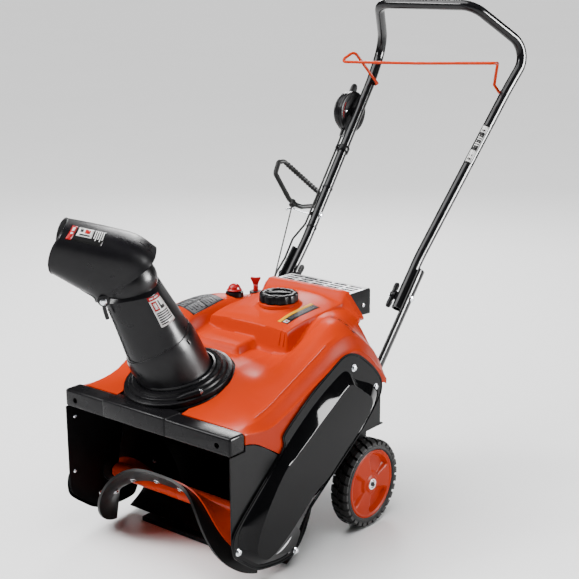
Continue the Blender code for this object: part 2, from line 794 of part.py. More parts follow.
def hood(mats):
    """Engine hood: one skin lofted through cross-sections from front to back."""
    rings = []
    for row in HOOD_ROWS:
        y = row[0]
        low = row[1]
        heights = row[2:]
        ring = [(HOOD_X[0], y, low)]
        ring += [(x, y, z) for x, z in zip(HOOD_X, heights)]
        ring += [(HOOD_X[-1], y, low)]
        rings.append(ring)
    verts, faces = skin(rings, closed_ring=False)
    obj = mesh_object("hood", verts, faces, mats["orange_plastic"])
    outward_up(obj)
    thicken(obj, 0.003)
    well = turned(
        "hood_well",
        [(0, -0.12), (0.1222, -0.12), (0.1222, 0.10), (0, 0.10)],
        None,
        RING_AT,
        axis="Z",
        steps=48,
        coll=CUTTERS,
    )
    well.rotation_euler = (RING_TILT, 0, 0)
    cut(obj, well)
    notch = box(
        "hood_notch",
        (-0.122, -0.260, 0.30),
        (0.066, -0.2322, 0.42),
        None,
        coll=CUTTERS,
    )
    cut(obj, notch)
    neck = turned(
        "hood_neck_hole",
        [(0, -0.05), (0.031, -0.05), (0.031, 0.05), (0, 0.05)],
        None,
        (CAP_AT[0], CAP_AT[1], 0.47),
        axis="Z",
        steps=32,
        coll=CUTTERS,
    )
    cut(obj, neck)
    for k, side in enumerate((-1, 1)):
        low, high = sorted((side * 0.1405, side * 0.30))
        rear = box(f"hood_rear_{k}", (low, 0.2400, 0.20), (high, 0.40, 0.60), None, coll=CUTTERS)
        cut(obj, rear)
        low, high = sorted((side * 0.1900, side * 0.30))
        tail = box(f"hood_tail_{k}", (low, 0.2220, 0.20), (high, 0.30, 0.60), None, coll=CUTTERS)
        cut(obj, tail)
        low, high = sorted((side * 0.225, side * 0.26))
        outline = ((-0.085, 0.20), (-0.085, 0.282), (0.030, 0.370), (0.125, 0.370), (0.125, 0.20))
        window = plate(f"hood_window_{k}", outline, low, high, None, coll=CUTTERS)
        cut(obj, window)
    return obj


def outward_up(obj):
    """Turn the faces of an open skin so that they look up and out."""
    bm = bmesh.new()
    bm.from_mesh(obj.data)
    total = sum((face.normal.z * face.calc_area() for face in bm.faces), 0.0)
    if total < 0:
        bmesh.ops.reverse_faces(bm, faces=bm.faces)
    bm.to_mesh(obj.data)
    bm.free()


COVER_OUTLINE = (
    (0.0516, 0.4197),
    (0.0869, 0.4201),
    (0.1233, 0.4042),
    (0.1703, 0.3665),
    (0.1947, 0.3370),
    (0.2000, 0.3130),
    (0.1900, 0.2900),
    (0.1390, 0.2420),
    (0.0700, 0.1960),
    (0.0050, 0.1530),
    (-0.0600, 0.1080),
    (-0.0840, 0.0720),
    (-0.0970, 0.0460),
    (-0.1070, 0.0330),
    (-0.1340, 0.0280),
    (-0.1800, 0.0300),
    (-0.2240, 0.0400),
    (-0.2640, 0.0660),
    (-0.2980, 0.0960),
    (-0.3030, 0.1270),
    (-0.2908, 0.1539),
    (-0.2250, 0.2090),
    (-0.1600, 0.2660),
    (-0.1430, 0.3040),
    (-0.0914, 0.3442),
    (-0.0085, 0.3915),
)


def inset(outline, distance):
    """The outline moved inward by distance, corner by corner."""
    n = len(outline)
    area = 0.0
    for i in range(n):
        y0, z0 = outline[i]
        y1, z1 = outline[(i + 1) % n]
        area += y0 * z1 - y1 * z0
    sign = 1.0 if area > 0 else -1.0
    out = []
    for i in range(n):
        a = Vector(outline[i - 1])
        b = Vector(outline[i])
        c = Vector(outline[(i + 1) % n])
        d1 = (b - a).normalized()
        d2 = (c - b).normalized()
        n1 = Vector((-d1.y, d1.x)) * sign
        n2 = Vector((-d2.y, d2.x)) * sign
        mid = (n1 + n2).normalized()
        scale = distance / max(mid.dot(n1), 0.5)
        point = b + mid * scale
        out.append((point.x, point.y))
    return out


def side_cover(name, side, mats):
    """Gloss cover over the belt side, with a flange and a raised panel."""
    levels = ((0.0, 0.2372), (0.0, 0.2392), (0.0110, 0.2400), (0.0230, 0.2590))
    levels += ((0.0260, 0.2610),)
    rings = []
    for distance, x in levels:
        outline = inset(COVER_OUTLINE, distance) if distance else COVER_OUTLINE
        rings.append([(side * (x + SHEET), y, z) for y, z in outline])
    verts, faces = skin(rings)
    n = len(COVER_OUTLINE)
    faces.append(tuple(range(4 * n, 5 * n)))
    obj = mesh_object(name, verts, faces, mats["gloss_plastic"])
    bm = bmesh.new()
    bm.from_mesh(obj.data)
    cap = max(bm.faces, key=lambda face: len(face.verts))
    if cap.normal.x * side < 0:
        bmesh.ops.reverse_faces(bm, faces=bm.faces)
    bm.to_mesh(obj.data)
    bm.free()
    thicken(obj, 0.0018)
    return obj


def muffler_guard(mats):
    """Slotted heat guard at the back of the hood."""
    a, b = -0.130, 0.101
    front, back, top = 0.2690, 0.3460, 0.4880
    verts = [(a, front, top), (b, front, top), (b, back - 0.006, top), (a, back - 0.006, top)]
    verts += [(a, back, top - 0.006), (b, back, top - 0.006), (b, back, 0.4340), (a, back, 0.4340)]
    verts += [(a, front, 0.4380), (b, front, 0.4380)]
    faces = [(0, 1, 2, 3), (3, 2, 5, 4), (4, 5, 6, 7), (0, 3, 4, 7, 8), (1, 9, 6, 5, 2)]
    obj = mesh_object("muffler_guard", verts, faces, mats["guard_steel"])
    outward_up(obj)
    thicken(obj, 0.0015)
    index = 0
    for row in range(4):
        for k in range(5):
            x = -0.103 + 0.044 * k
            y = 0.2800 + 0.0155 * row
            slot = box(
                f"guard_slot_{index}",
                (x - 0.017, y - 0.0030, top - 0.004),
                (x + 0.017, y + 0.0030, top + 0.004),
                None,
                coll=CUTTERS,
            )
            cut(obj, slot)
            index += 1
    return obj


# ---------------------------------------------------------------- engine bay
def engine_bay(mats):
    deck = box("engine_deck", (-0.2115, -0.0240, 0.2070), (0.2115, 0.2460, 0.2100), mats["black_steel"])
    wide = box("deck_front", (-0.2340, -0.0240, 0.2070), (0.2340, 0.0640, 0.2100), None, coll=CUTTERS)
    cut(deck, wide, "UNION")
    index = 0
    for side in (-1, 1):
        low, high = sorted((side * 0.1950, side * 0.1985))
        ear = box(f"deck_ear_{index}", (low, 0.112, 0.078), (high, 0.200, 0.2080), None, coll=CUTTERS)
        cut(deck, ear, "UNION")
        low, high = sorted((side * 0.2080, side * 0.2110))
        tab = box(f"deck_tab_{index}", (low, 0.150, 0.2090), (high, 0.236, 0.2900), None, coll=CUTTERS)
        cut(deck, tab, "UNION")
        hole = rod_cutter(f"deck_axle_hole_{index}", 0.0084, side * 0.1968, WHEEL_Y, WHEEL_Z, 0.01)
        cut(deck, hole)
        index += 1
    block = box("engine_block", (-0.0380, 0.010, 0.2103), (0.0880, 0.130, 0.3500), mats["cast_alloy"], bevel=0.006)
    cut(block, rod_cutter("block_bore", 0.0074, 0.02, CRANK_Y, CRANK_Z, 0.12))
    for k in range(5):
        y = 0.030 + 0.022 * k
        groove = box(f"block_groove_{k}", (-0.05, y - 0.004, 0.3360), (0.10, y + 0.004, 0.36), None, coll=CUTTERS)
        cut(block, groove)
    head = box("cylinder_head", (-0.0250, -0.0170, 0.2700), (0.0750, 0.0120, 0.3400), None, coll=CUTTERS)
    cut(block, head, "UNION")
    for k in range(5):
        z = 0.279 + 0.013 * k
        fin = box(f"head_gap_{k}", (-0.03, -0.03, z - 0.0022), (0.08, 0.0005, z + 0.0022), None, coll=CUTTERS)
        cut(block, fin)
    turned(
        "spark_plug",
        [(0, 0.0), (0.0070, 0.0), (0.0070, 0.010), (0.0045, 0.013), (0.0045, 0.034), (0, 0.036)],
        mats["white_ceramic"],
        (0.055, -0.004, 0.3403),
        axis="Z",
        steps=12,
    )
    box("carburettor", (0.0905, 0.030, 0.3120), (0.1500, 0.110, 0.3620), mats["black_plastic"], bevel=0.005)
    tank = box("fuel_tank", (-0.108, 0.078, 0.3900), (0.050, 0.235, 0.4460), mats["tank_plastic"], bevel=0.010, segments=3)
    neck = turned(
        "tank_neck",
        [(0, 0.0), (0.0270, 0.0), (0.0270, 0.0455), (0, 0.0455)],
        None,
        (CAP_AT[0], CAP_AT[1], 0.4400),
        axis="Z",
        steps=24,
        coll=CUTTERS,
    )
    cut(tank, neck, "UNION")
    mouth = turned(
        "tank_mouth",
        [(0, 0.0), (0.0200, 0.0), (0.0200, 0.0600), (0, 0.0600)],
        None,
        (CAP_AT[0], CAP_AT[1], 0.4300),
        axis="Z",
        steps=24,
        coll=CUTTERS,
    )
    cut(tank, mouth)
    box("muffler", (-0.090, 0.2700, 0.3500), (0.070, 0.3360, 0.4300), mats["muffler_steel"], bevel=0.010, segments=3)
    panel = box("rear_panel", (-0.150, 0.2475, 0.2110), (0.150, 0.2500, 0.3420), mats["black_plastic"])
    for k in range(4):
        z = 0.240 + 0.022 * k
        slot = box(f"panel_slot_{k}", (-0.11, 0.24, z - 0.004), (0.11, 0.26, z + 0.004), None, coll=CUTTERS)
        cut(panel, slot)
    recoil(mats)
    return deck


def recoil(mats):
    """Starter housing with its drum; the rope leaves through a slot at the back."""
    at = (-0.1300, CRANK_Y, CRANK_Z)
    r = 0.0860
    section = [(0.0, 0.0), (r - 0.008, 0.0), (r, 0.008), (r, 0.084), (r - 0.0025, 0.084)]
    section += [(r - 0.0025, 0.009), (r - 0.009, 0.0025), (0.0, 0.0025)]
    obj = turned("recoil_housing", section, mats["black_plastic"], at, steps=36)
    eye = Vector(ROPE_EYE)
    end = Vector(ROPE_END)
    lean = (eye - end).normalized()
    slot = turned(
        "recoil_slot",
        [(0, -0.05), (0.0060, -0.05), (0.0060, 0.05), (0, 0.05)],
        None,
        end + lean * 0.012,
        axis="Z",
        steps=12,
        coll=CUTTERS,
    )
    slot.rotation_mode = "QUATERNION"
    slot.rotation_quaternion = lean.to_track_quat("Z", "Y")
    cut(obj, slot)
    drum = [(0.0073, 0.0), (0.050, 0.0), (0.050, 0.0020), (0.044, 0.0020), (0.044, 0.0090)]
    drum += [(0.050, 0.0090), (0.050, 0.0110), (0.0073, 0.0110)]
    turned("recoil_drum", drum, mats["drum_plastic"], (-0.1240, CRANK_Y, CRANK_Z), steps=28)


def controls_on_hood(mats):
    cap = [(0, 0.0), (0.0445, 0.0), (0.0445, 0.0160), (0.0405, 0.0200), (0.0290, 0.0210)]
    cap += [(0.0270, 0.0175), (0, 0.0175)]
    body = turned("fuel_cap", cap, mats["black_plastic"], (CAP_AT[0], CAP_AT[1], 0.4860), axis="Z", steps=36)
    bar = box(
        "cap_grip",
        (-0.0300, -0.0060, 0.0150),
        (0.0300, 0.0060, 0.0215),
        None,
        bevel=0.002,
        at=(0, 0, 0),
        parent=body,
        coll=CUTTERS,
    )
    cut(body, bar, "UNION")
    dome = [(0, 0.0), (0.0180, 0.0), (0.0180, 0.0030), (0.0155, 0.0034)]
    for i in range(1, 7):
        a = radians(15 * i)
        dome.append((0.0150 * cos(a), 0.0034 + 0.0135 * sin(a)))
    dome[-1] = (0, dome[-1][1])
    turned("primer_bulb", dome, mats["red_rubber"], (-0.150, 0.152, 0.4802), axis="Z", steps=24)
    key = turned(
        "ignition_key",
        [(0, 0.0), (0.0060, 0.0), (0.0060, 0.0120), (0.0045, 0.0140), (0, 0.0140)],
        mats["red_plastic"],
        (-0.150, 0.228, 0.4640),
        axis="Z",
        steps=16,
    )
    outline = [(-0.0050, 0.010), (0.0050, 0.010), (0.0130, 0.031), (0.0110, 0.034), (-0.0110, 0.034), (-0.0130, 0.031)]
    verts = [(u, -0.0030, w) for u, w in outline] + [(u, 0.0030, w) for u, w in outline]
    faces = [tuple(range(6)), tuple(range(6, 12))]
    faces += [(i, (i + 1) % 6, 6 + (i + 1) % 6, 6 + i) for i in range(6)]
    wing = mesh_object("key_wing", verts, faces, None, at=(-0.150, 0.228, 0.4640), coll=CUTTERS)
    wing.rotation_euler = (0, 0, radians(35))
    cut(key, wing, "UNION")


# ---------------------------------------------------------------- wheels
def tyre(name, side, mats):
    """Tyre with raised lugs, as a ring that goes all the way round."""
    steps = 60
    w0 = WHEEL_IN
    w1 = WHEEL_OUT
    verts = []
    for i in range(steps):
        a = 2 * pi * i / steps
        lug = (i % 3) != 1
        r = WHEEL_R if lug else WHEEL_R - 0.0045
        shift = 0.0
        section = [
            (w1 - 0.002, RIM_R + 0.0004),
            (w1, RIM_R + 0.008),
            (w1 - 0.002, r - 0.006),
            (w1 - 0.006, r),
            ((w0 + w1) / 2, r),
            (w0 + 0.006, r),
            (w0 + 0.002, r - 0.006),
            (w0, RIM_R + 0.008),
            (w0 + 0.002, RIM_R + 0.0004),
        ]
        for x, rr in section:
            verts.append((side * x + shift, rr * cos(a), rr * sin(a)))
    n = 9
    faces = []
    for i in range(steps):
        k = (i + 1) % steps
        for j in range(n):
            m = (j + 1) % n
            faces.append((i * n + j, k * n + j, k * n + m, i * n + m))
    verts = [(x, y, z) for x, y, z in verts]
    obj = mesh_object(name, verts, faces, mats["tyre_rubber"], at=(0, WHEEL_Y, WHEEL_Z))
    return obj


def rim(name, side, mats):
    w0 = WHEEL_IN + 0.002
    w1 = WHEEL_OUT - 0.002
    mid = side * (w0 + w1) / 2
    half = (w1 - w0) / 2
    s = side
    section = [(0.0083, -half * s), (0.0190, -half * s), (0.0190, -0.006 * s), (0.0680, -0.006 * s)]
    section += [(0.0700, -half * s), (RIM_R, -half * s), (RIM_R, half * s), (0.0730, half * s)]
    section += [(0.0690, 0.002 * s), (0.0200, 0.002 * s), (0.0170, (half + 0.001) * s)]
    section += [(0.0083, (half + 0.001) * s)]
    obj = turned(name, section, mats["orange_plastic"], (mid, WHEEL_Y, WHEEL_Z), steps=32)
    for k in range(3):
        a = radians(90 + 120 * k)
        outline = [(0.012, -0.012), (0.071, -0.020), (0.071, 0.020), (0.012, 0.012)]
        ring = [(r * cos(a) - t * sin(a), r * sin(a) + t * cos(a)) for r, t in outline]
        low, high = sorted((0.0 * s, (half - 0.003) * s))
        verts = [(low, y, z) for y, z in ring] + [(high, y, z) for y, z in ring]
        faces = [(0, 1, 2, 3), (4, 5, 6, 7)]
        faces += [(i, (i + 1) % 4, 4 + (i + 1) % 4, 4 + i) for i in range(4)]
        spoke = mesh_object(f"{name}_spoke_{k}", verts, faces, None, at=(mid, WHEEL_Y, WHEEL_Z), coll=CUTTERS)
        cut(obj, spoke, "UNION")
    bore = rod_cutter(f"{name}_bore", 0.0083, mid, WHEEL_Y, WHEEL_Z, 0.04)
    cut(obj, bore)
    return obj


def wheels(mats):
    for name, side in (("left", 1), ("right", -1)):
        tyre(f"tyre_{name}", side, mats)
        rim(f"rim_{name}", side, mats)
    profile = [(0, -0.2515), (0.0066, -0.2515), (0.0080, -0.2500), (0.0080, 0.2500)]
    profile += [(0.0066, 0.2515), (0, 0.2515)]
    turned("wheel_axle", profile, mats["zinc"], (0, WHEEL_Y, WHEEL_Z), steps=20)


# ---------------------------------------------------------------- handle
def on_tube(z, side=1):
    """The centre of an upper tube at height z; above the joint the tubes spread."""
    j = Vector(JOINT)
    b = Vector(BAIL_AT)
    y = j.y + (b.y - j.y) * (z - j.z) / (b.z - j.z)
    x = j.x + (b.x - j.x) * max(0.0, z - SPREAD_FROM) / (b.z - SPREAD_FROM)
    return Vector((side * x, y, z))


def lower_handles(mats):
    for name, side in (("left", 1), ("right", -1)):
        low = on_tube(0.2240)
        high = on_tube(0.5270)
        points = [(side * LOWER_X, low.y, low.z), (side * LOWER_X, high.y, high.z)]
        obj = tube(f"lower_handle_{name}", points, TUBE_R, mats["tube_steel"], res=3, wall=TUBE_WALL)
        for vert in obj.data.vertices:
            vert.co.x = side * LOWER_X + (vert.co.x - side * LOWER_X) * LOWER_FLAT
        cut(obj, rod_cutter(f"lower_bolt_hole_{name}", 0.0034, side * LOWER_X, JOINT[1], JOINT[2], 0.03, 12))
        section = [(0, -0.0400), (0.0030, -0.0400), (0.0030, 0.0222), (0.0072, 0.0222)]
        section += [(0.0062, 0.0249), (0.0030, 0.0265), (0, 0.0267)]
        section = [(r, side * h) for r, h in section]
        turned(f"handle_bolt_{name}", section, mats["zinc"], (side * 0.1735, JOINT[1], JOINT[2]), steps=16)
        knob(name, side, mats)


def knob(name, side, mats):
    """Wing knob on the inner end of the joint bolt."""
    at = Vector((side * 0.1460, JOINT[1], JOINT[2]))
    hub = [(0.0033, -0.0075), (0.0100, -0.0075), (0.0100, 0.0075), (0.0033, 0.0075)]
    obj = turned(f"wing_knob_{name}", hub, mats["black_plastic"], at, steps=20)
    lean = atan2(BAIL_AT[2] - JOINT[2], BAIL_AT[1] - JOINT[1])
    for k, turn in enumerate((0.0, pi)):
        a = lean + turn
        outline = [(0.0055, -0.0070), (0.0200, -0.0075), (0.0300, -0.0055), (0.0330, 0.0), (0.0300, 0.0055)]
        outline += [(0.0200, 0.0075), (0.0055, 0.0070)]
        ring = [(r * cos(a) - t * sin(a), r * sin(a) + t * cos(a)) for r, t in outline]
        lift = -side * 0.004
        verts = [(-0.0045 + lift, y, z) for y, z in ring] + [(0.0045 + lift, y, z) for y, z in ring]
        n = len(ring)
        faces = [tuple(range(n)), tuple(range(n, 2 * n))]
        faces += [(i, (i + 1) % n, n + (i + 1) % n, n + i) for i in range(n)]
        wing = mesh_object(f"knob_wing_{name}_{k}", verts, faces, None, at=at, coll=CUTTERS)
        cut(obj, wing, "UNION")
    return obj


def upper_handle(mats):
    j = Vector(JOINT)
    low = on_tube(0.4455)
    right = [low, on_tube(SPREAD_FROM), Vector(BAIL_AT), Vector(KINK), Vector(TOP)]
    path = [Vector(mirrored([p])[0]) for p in right] + right[::-1]
    radii = [0.5, 0.25, 0.055, 0.050, 0.050, 0.055, 0.25, 0.5]
    points = rounded(path, radii, steps=4)
    obj = tube("upper_handle", points, TUBE_R, mats["tube_steel"], at=(0, j.y, j.z), res=3, wall=TUBE_WALL)
    for k, side in enumerate((-1, 1)):
        cut(obj, rod_cutter(f"upper_bolt_hole_{k}", 0.0034, side * j.x, j.y, j.z, 0.022, 12))
    eye = on_tube(ROPE_EYE[2] - 0.006, -1)
    cut(obj, rod_cutter("eye_hole", 0.0032, eye.x, eye.y, eye.z, 0.03, 12))
    return obj


def rope_guide(mats):
    """Bent-wire eye through the right tube, open at the front."""
    root = on_tube(ROPE_EYE[2] - 0.006, -1)
    eye = Vector(ROPE_EYE)
    points = [(-0.1590, root.y, root.z), (-0.2150, root.y, root.z)]
    loop = []
    for i in range(13):
        a = radians(45 + 193 * i / 12)
        loop.append((eye.x + 0.0115 * cos(a), eye.y + 0.0115 * sin(a), eye.z))
    points = points + loop
    tube("rope_guide", points, 0.0028, mats["zinc"], res=1)


def bail(mats):
    b = Vector((0.203, 0.766, 0.910))
    stub = [(0.1900, b.y, b.z), (0.1820, b.y, b.z), (0.1820, 0.742, 0.9300)]
    left = stub + [(0.2110, 0.704, 0.9860), (0.2200, 0.676, 0.9880)]
    right = mirrored(stub) + [(-0.2130, 0.703, 0.9960), (-0.2400, 0.676, 0.9700)]
    middle = (0.0, 0.668, 0.9780)
    path = right + [middle] + left[::-1]
    radii = [0.003, 0.010, 0.012, 0.010, 0.20, 0.010, 0.012, 0.010, 0.003]
    points = rounded(path, radii, steps=3)
    return tube("bail", points, 0.0038, mats["orange_steel"], at=(0, b.y, b.z), res=2)


def chute_control(mats):
    x, y, z = CONTROL_AT
    section = [(0, 0.0), (0.0500, 0.0), (0.0540, -0.0030), (0.0540, -0.0210), (0.0510, -0.0240), (0, -0.0240)]
    obj = turned("control_housing", section, mats["black_plastic"], (x, y, z), steps=36)
    block = box(
        "control_block",
        (x - 0.002, y - 0.012, z - 0.012),
        (x + 0.0060, y + 0.012, z + 0.012),
        None,
        coll=CUTTERS,
    )
    cut(obj, block, "UNION")
    spout = turned(
        "control_spout",
        [(0, -0.012), (0.0060, -0.012), (0.0060, 0.012), (0, 0.012)],
        None,
        (x - 0.0120, y - 0.0330, z - 0.0500),
        axis="Z",
        steps=14,
        coll=CUTTERS,
    )
    spout.rotation_euler = (radians(-36), 0, 0)
    cut(obj, spout, "UNION")
    lever = [(0, -0.0010), (0.0460, -0.0010), (0.0460, -0.0080), (0.0430, -0.0098), (0, -0.0098)]
    arm = turned("control_lever", lever, mats["lever_plastic"], (x - 0.0240, y, z), steps=28)
    tab = box(
        "lever_tab",
        (-0.0085, -0.0120, 0.0350),
        (-0.0015, 0.0120, 0.0820),
        None,
        bevel=0.002,
        at=(0, 0, 0),
        parent=arm,
        coll=CUTTERS,
    )
    tab.rotation_euler = (radians(-34), 0, 0)
    cut(arm, tab, "UNION")


def cable_route():
    """Centre line of the chute control cable, from the control to the hood."""
    x, y, z = CONTROL_AT
    start = Vector((x - 0.012, y - 0.0415, z - 0.0620))
    points = [start]
    for height in (0.740, 0.700, 0.640, 0.580, 0.520):
        c = on_tube(height, -1)
        points.append(Vector((c.x - 0.0145, c.y - 0.0100, c.z + 0.003)))
    return points


def cables(mats):
    upper = cable_route()
    j = Vector(JOINT)
    split = Vector((-0.2165, j.y - 0.0120, j.z + 0.0030))
    upper = upper[:-1] + [Vector((-0.2080, 0.428, 0.548)), Vector((-0.2150, 0.400, 0.504)), split]
    tube("control_cable_upper", rounded(upper, 0.03, steps=2), 0.0028, mats["cable_black"], res=1)
    gap = Vector((0, -0.0010, -0.0012))
    lower = [split + gap, Vector((-0.2150, 0.318, 0.405)), Vector((-0.2150, 0.246, 0.330))]
    lower += [Vector((-0.1880, 0.200, 0.335)), Vector((-0.1560, 0.130, 0.368))]
    lower += [Vector((-0.1500, 0.020, 0.380)), Vector((-0.1560, -0.052, 0.372))]
    tube("control_cable_lower", rounded(lower, 0.03, steps=3), 0.0028, mats["cable_black"], res=1)
    c = on_tube(0.7520, -1)
    ring = [(TUBE_R + 0.0003, -0.008), (TUBE_R + 0.0032, -0.008), (TUBE_R + 0.0032, 0.008), (TUBE_R + 0.0003, 0.008)]
    clamp = turned("cable_clamp", ring, mats["black_plastic"], c, axis="Z", steps=24)
    lean = on_tube(0.80, -1) - on_tube(0.70, -1)
    clamp.rotation_mode = "QUATERNION"
    clamp.rotation_quaternion = lean.to_track_quat("Z", "Y")


def starter(mats):
    """Pull grip and its rope, in one straight line through the eye."""
    eye = Vector(ROPE_EYE)
    end = Vector(ROPE_END)
    lean = (eye - end).normalized()
    tail = end - lean * 0.118
    top = eye + lean * 0.0120
    tube("starter_rope", [tail, end, eye, top], 0.0020, mats["rope"], at=eye, res=1)
    side = Vector((0.475, 0.612, -0.636)).normalized()
    outline = [(-0.012, 0.024), (-0.070, 0.066), (-0.069, 0.106), (-0.054, 0.119)]
    outline += [(0.071, 0.108), (0.071, 0.066), (0.028, 0.030), (0.012, 0.024)]
    loop = [eye + side * u + lean * w for u, w in outline]
    middle = (loop[0] + loop[-1]) / 2
    path = rounded([middle] + loop + [middle], 0.010, steps=2)[:-1]
    obj = tube("starter_grip", path, 0.0068, mats["grip_plastic"], at=eye, res=2, closed=True)
    stem = turned(
        "grip_stem",
        [(0.0023, 0.013), (0.0085, 0.013), (0.0070, 0.030), (0.0023, 0.030)],
        None,
        eye,
        axis="Z",
        steps=16,
        coll=CUTTERS,
    )
    stem.rotation_mode = "QUATERNION"
    stem.rotation_quaternion = lean.to_track_quat("Z", "Y")
    cut(obj, stem, "UNION")
    return obj


# ---------------------------------------------------------------- all of it
def materials():
    return {
        "orange_plastic": material("orange_plastic", (0.92, 0.115, 0.006), 0.30),
        "orange_steel": material("orange_steel", (0.86, 0.13, 0.012), 0.38),
        "black_plastic": material("black_plastic", (0.018, 0.018, 0.020), 0.45),
        "chute_plastic": material("chute_plastic", (0.016, 0.016, 0.019), 0.34),
        "gloss_plastic": material("gloss_plastic", (0.008, 0.008, 0.009), 0.08),
        "black_steel": material("black_steel", (0.020, 0.020, 0.022), 0.42, 0.2),
        "tube_steel": material("tube_steel", (0.010, 0.010, 0.011), 0.22, 0.3),
        "tank_plastic": material("tank_plastic", (0.05, 0.05, 0.05), 0.5),
        "grip_plastic": material("grip_plastic", (0.014, 0.014, 0.015), 0.55),
        "lever_plastic": material("lever_plastic", (0.022, 0.022, 0.024), 0.45),
        "drum_plastic": material("drum_plastic", (0.60, 0.60, 0.58), 0.5),
        "paddle_rubber": material("paddle_rubber", (0.030, 0.027, 0.027), 0.6),
        "tyre_rubber": material("tyre_rubber", (0.022, 0.022, 0.023), 0.75),
        "belt_rubber": material("belt_rubber", (0.02, 0.02, 0.02), 0.7),
        "red_rubber": material("red_rubber", (0.55, 0.01, 0.012), 0.4),
        "red_plastic": material("red_plastic", (0.60, 0.012, 0.016), 0.35),
        "rope": material("rope", (0.10, 0.10, 0.10), 0.85),
        "cable_black": material("cable_black", (0.015, 0.015, 0.015), 0.5),
        "steel": material("steel", (0.55, 0.55, 0.56), 0.3, 1.0),
        "zinc": material("zinc", (0.72, 0.74, 0.76), 0.22, 1.0),
        "guard_steel": material("guard_steel", (0.42, 0.42, 0.43), 0.35, 0.9),
        "muffler_steel": material("muffler_steel", (0.20, 0.19, 0.18), 0.5, 0.9),
        "cast_alloy": material("cast_alloy", (0.40, 0.41, 0.42), 0.5, 0.9),
        "white_ceramic": material("white_ceramic", (0.85, 0.85, 0.82), 0.2),
    }


clear_scene()
PARTS = collection("snow_blower")
CUTTERS = collection("snow_blower_cutters")
ROOT_EMPTY = bpy.data.objects.new("machine", None)
PARTS.objects.link(ROOT_EMPTY)
ROOT_EMPTY.location = ROOT
MATS = materials()

auger_housing(MATS)
LEFT_PLATE = side_plate("side_plate_left", 1, MATS)
side_plate("side_plate_right", -1, MATS)
front_cap(MATS)
scraper_bar(MATS)
chute_ring(MATS)
auger(MATS)
drive(MATS, LEFT_PLATE)
CHUTE = chute_frame()
BODY = chute_body(MATS, CHUTE)
deflector(MATS, CHUTE)
pivot_bolts(MATS, CHUTE, BODY)
hood(MATS)
side_cover("side_cover_left", 1, MATS)
side_cover("side_cover_right", -1, MATS)
muffler_guard(MATS)
engine_bay(MATS)
controls_on_hood(MATS)
wheels(MATS)
lower_handles(MATS)
upper_handle(MATS)
rope_guide(MATS)
bail(MATS)
chute_control(MATS)
cables(MATS)
starter(MATS)
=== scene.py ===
"""Looks for the single-stage snow blower: finer skins, fittings, plates and materials over the CAD frame.

Lengths are in machine coordinates, as in the CAD, and at() moves a point into the row frame.
"""

import json
from math import atan2, cos, exp, pi, radians, sin, sqrt

import bmesh
import bpy
from mathutils import Matrix, Vector

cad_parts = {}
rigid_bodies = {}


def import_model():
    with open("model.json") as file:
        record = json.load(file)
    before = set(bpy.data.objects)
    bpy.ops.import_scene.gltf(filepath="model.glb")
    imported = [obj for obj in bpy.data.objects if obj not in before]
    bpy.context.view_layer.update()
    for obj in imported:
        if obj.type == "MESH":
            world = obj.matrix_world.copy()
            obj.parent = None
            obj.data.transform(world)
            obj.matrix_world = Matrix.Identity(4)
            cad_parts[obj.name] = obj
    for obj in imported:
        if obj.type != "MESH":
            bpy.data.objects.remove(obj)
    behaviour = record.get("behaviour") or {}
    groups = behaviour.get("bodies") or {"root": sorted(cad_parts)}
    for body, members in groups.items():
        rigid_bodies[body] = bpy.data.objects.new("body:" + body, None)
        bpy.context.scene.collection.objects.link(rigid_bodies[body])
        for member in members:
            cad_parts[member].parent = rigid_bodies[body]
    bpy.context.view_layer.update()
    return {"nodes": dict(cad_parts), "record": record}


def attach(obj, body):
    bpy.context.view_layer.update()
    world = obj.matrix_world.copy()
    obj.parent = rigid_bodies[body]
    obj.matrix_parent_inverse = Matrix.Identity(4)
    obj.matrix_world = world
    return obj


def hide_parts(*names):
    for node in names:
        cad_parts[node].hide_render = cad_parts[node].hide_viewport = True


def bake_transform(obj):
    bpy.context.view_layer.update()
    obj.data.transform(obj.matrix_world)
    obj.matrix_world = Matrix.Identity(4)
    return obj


ROOT = Vector((0.0278, -0.2128, 0.0))

for obj in list(bpy.data.objects):
    bpy.data.objects.remove(obj, do_unlink=True)
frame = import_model()


# ---------------------------------------------------------------- materials
def node(tree, kind, inputs=None, **settings):
    item = tree.nodes.new(kind)
    for key, value in settings.items():
        setattr(item, key, value)
    for key, value in (inputs or {}).items():
        item.inputs[key].default_value = value
    return item


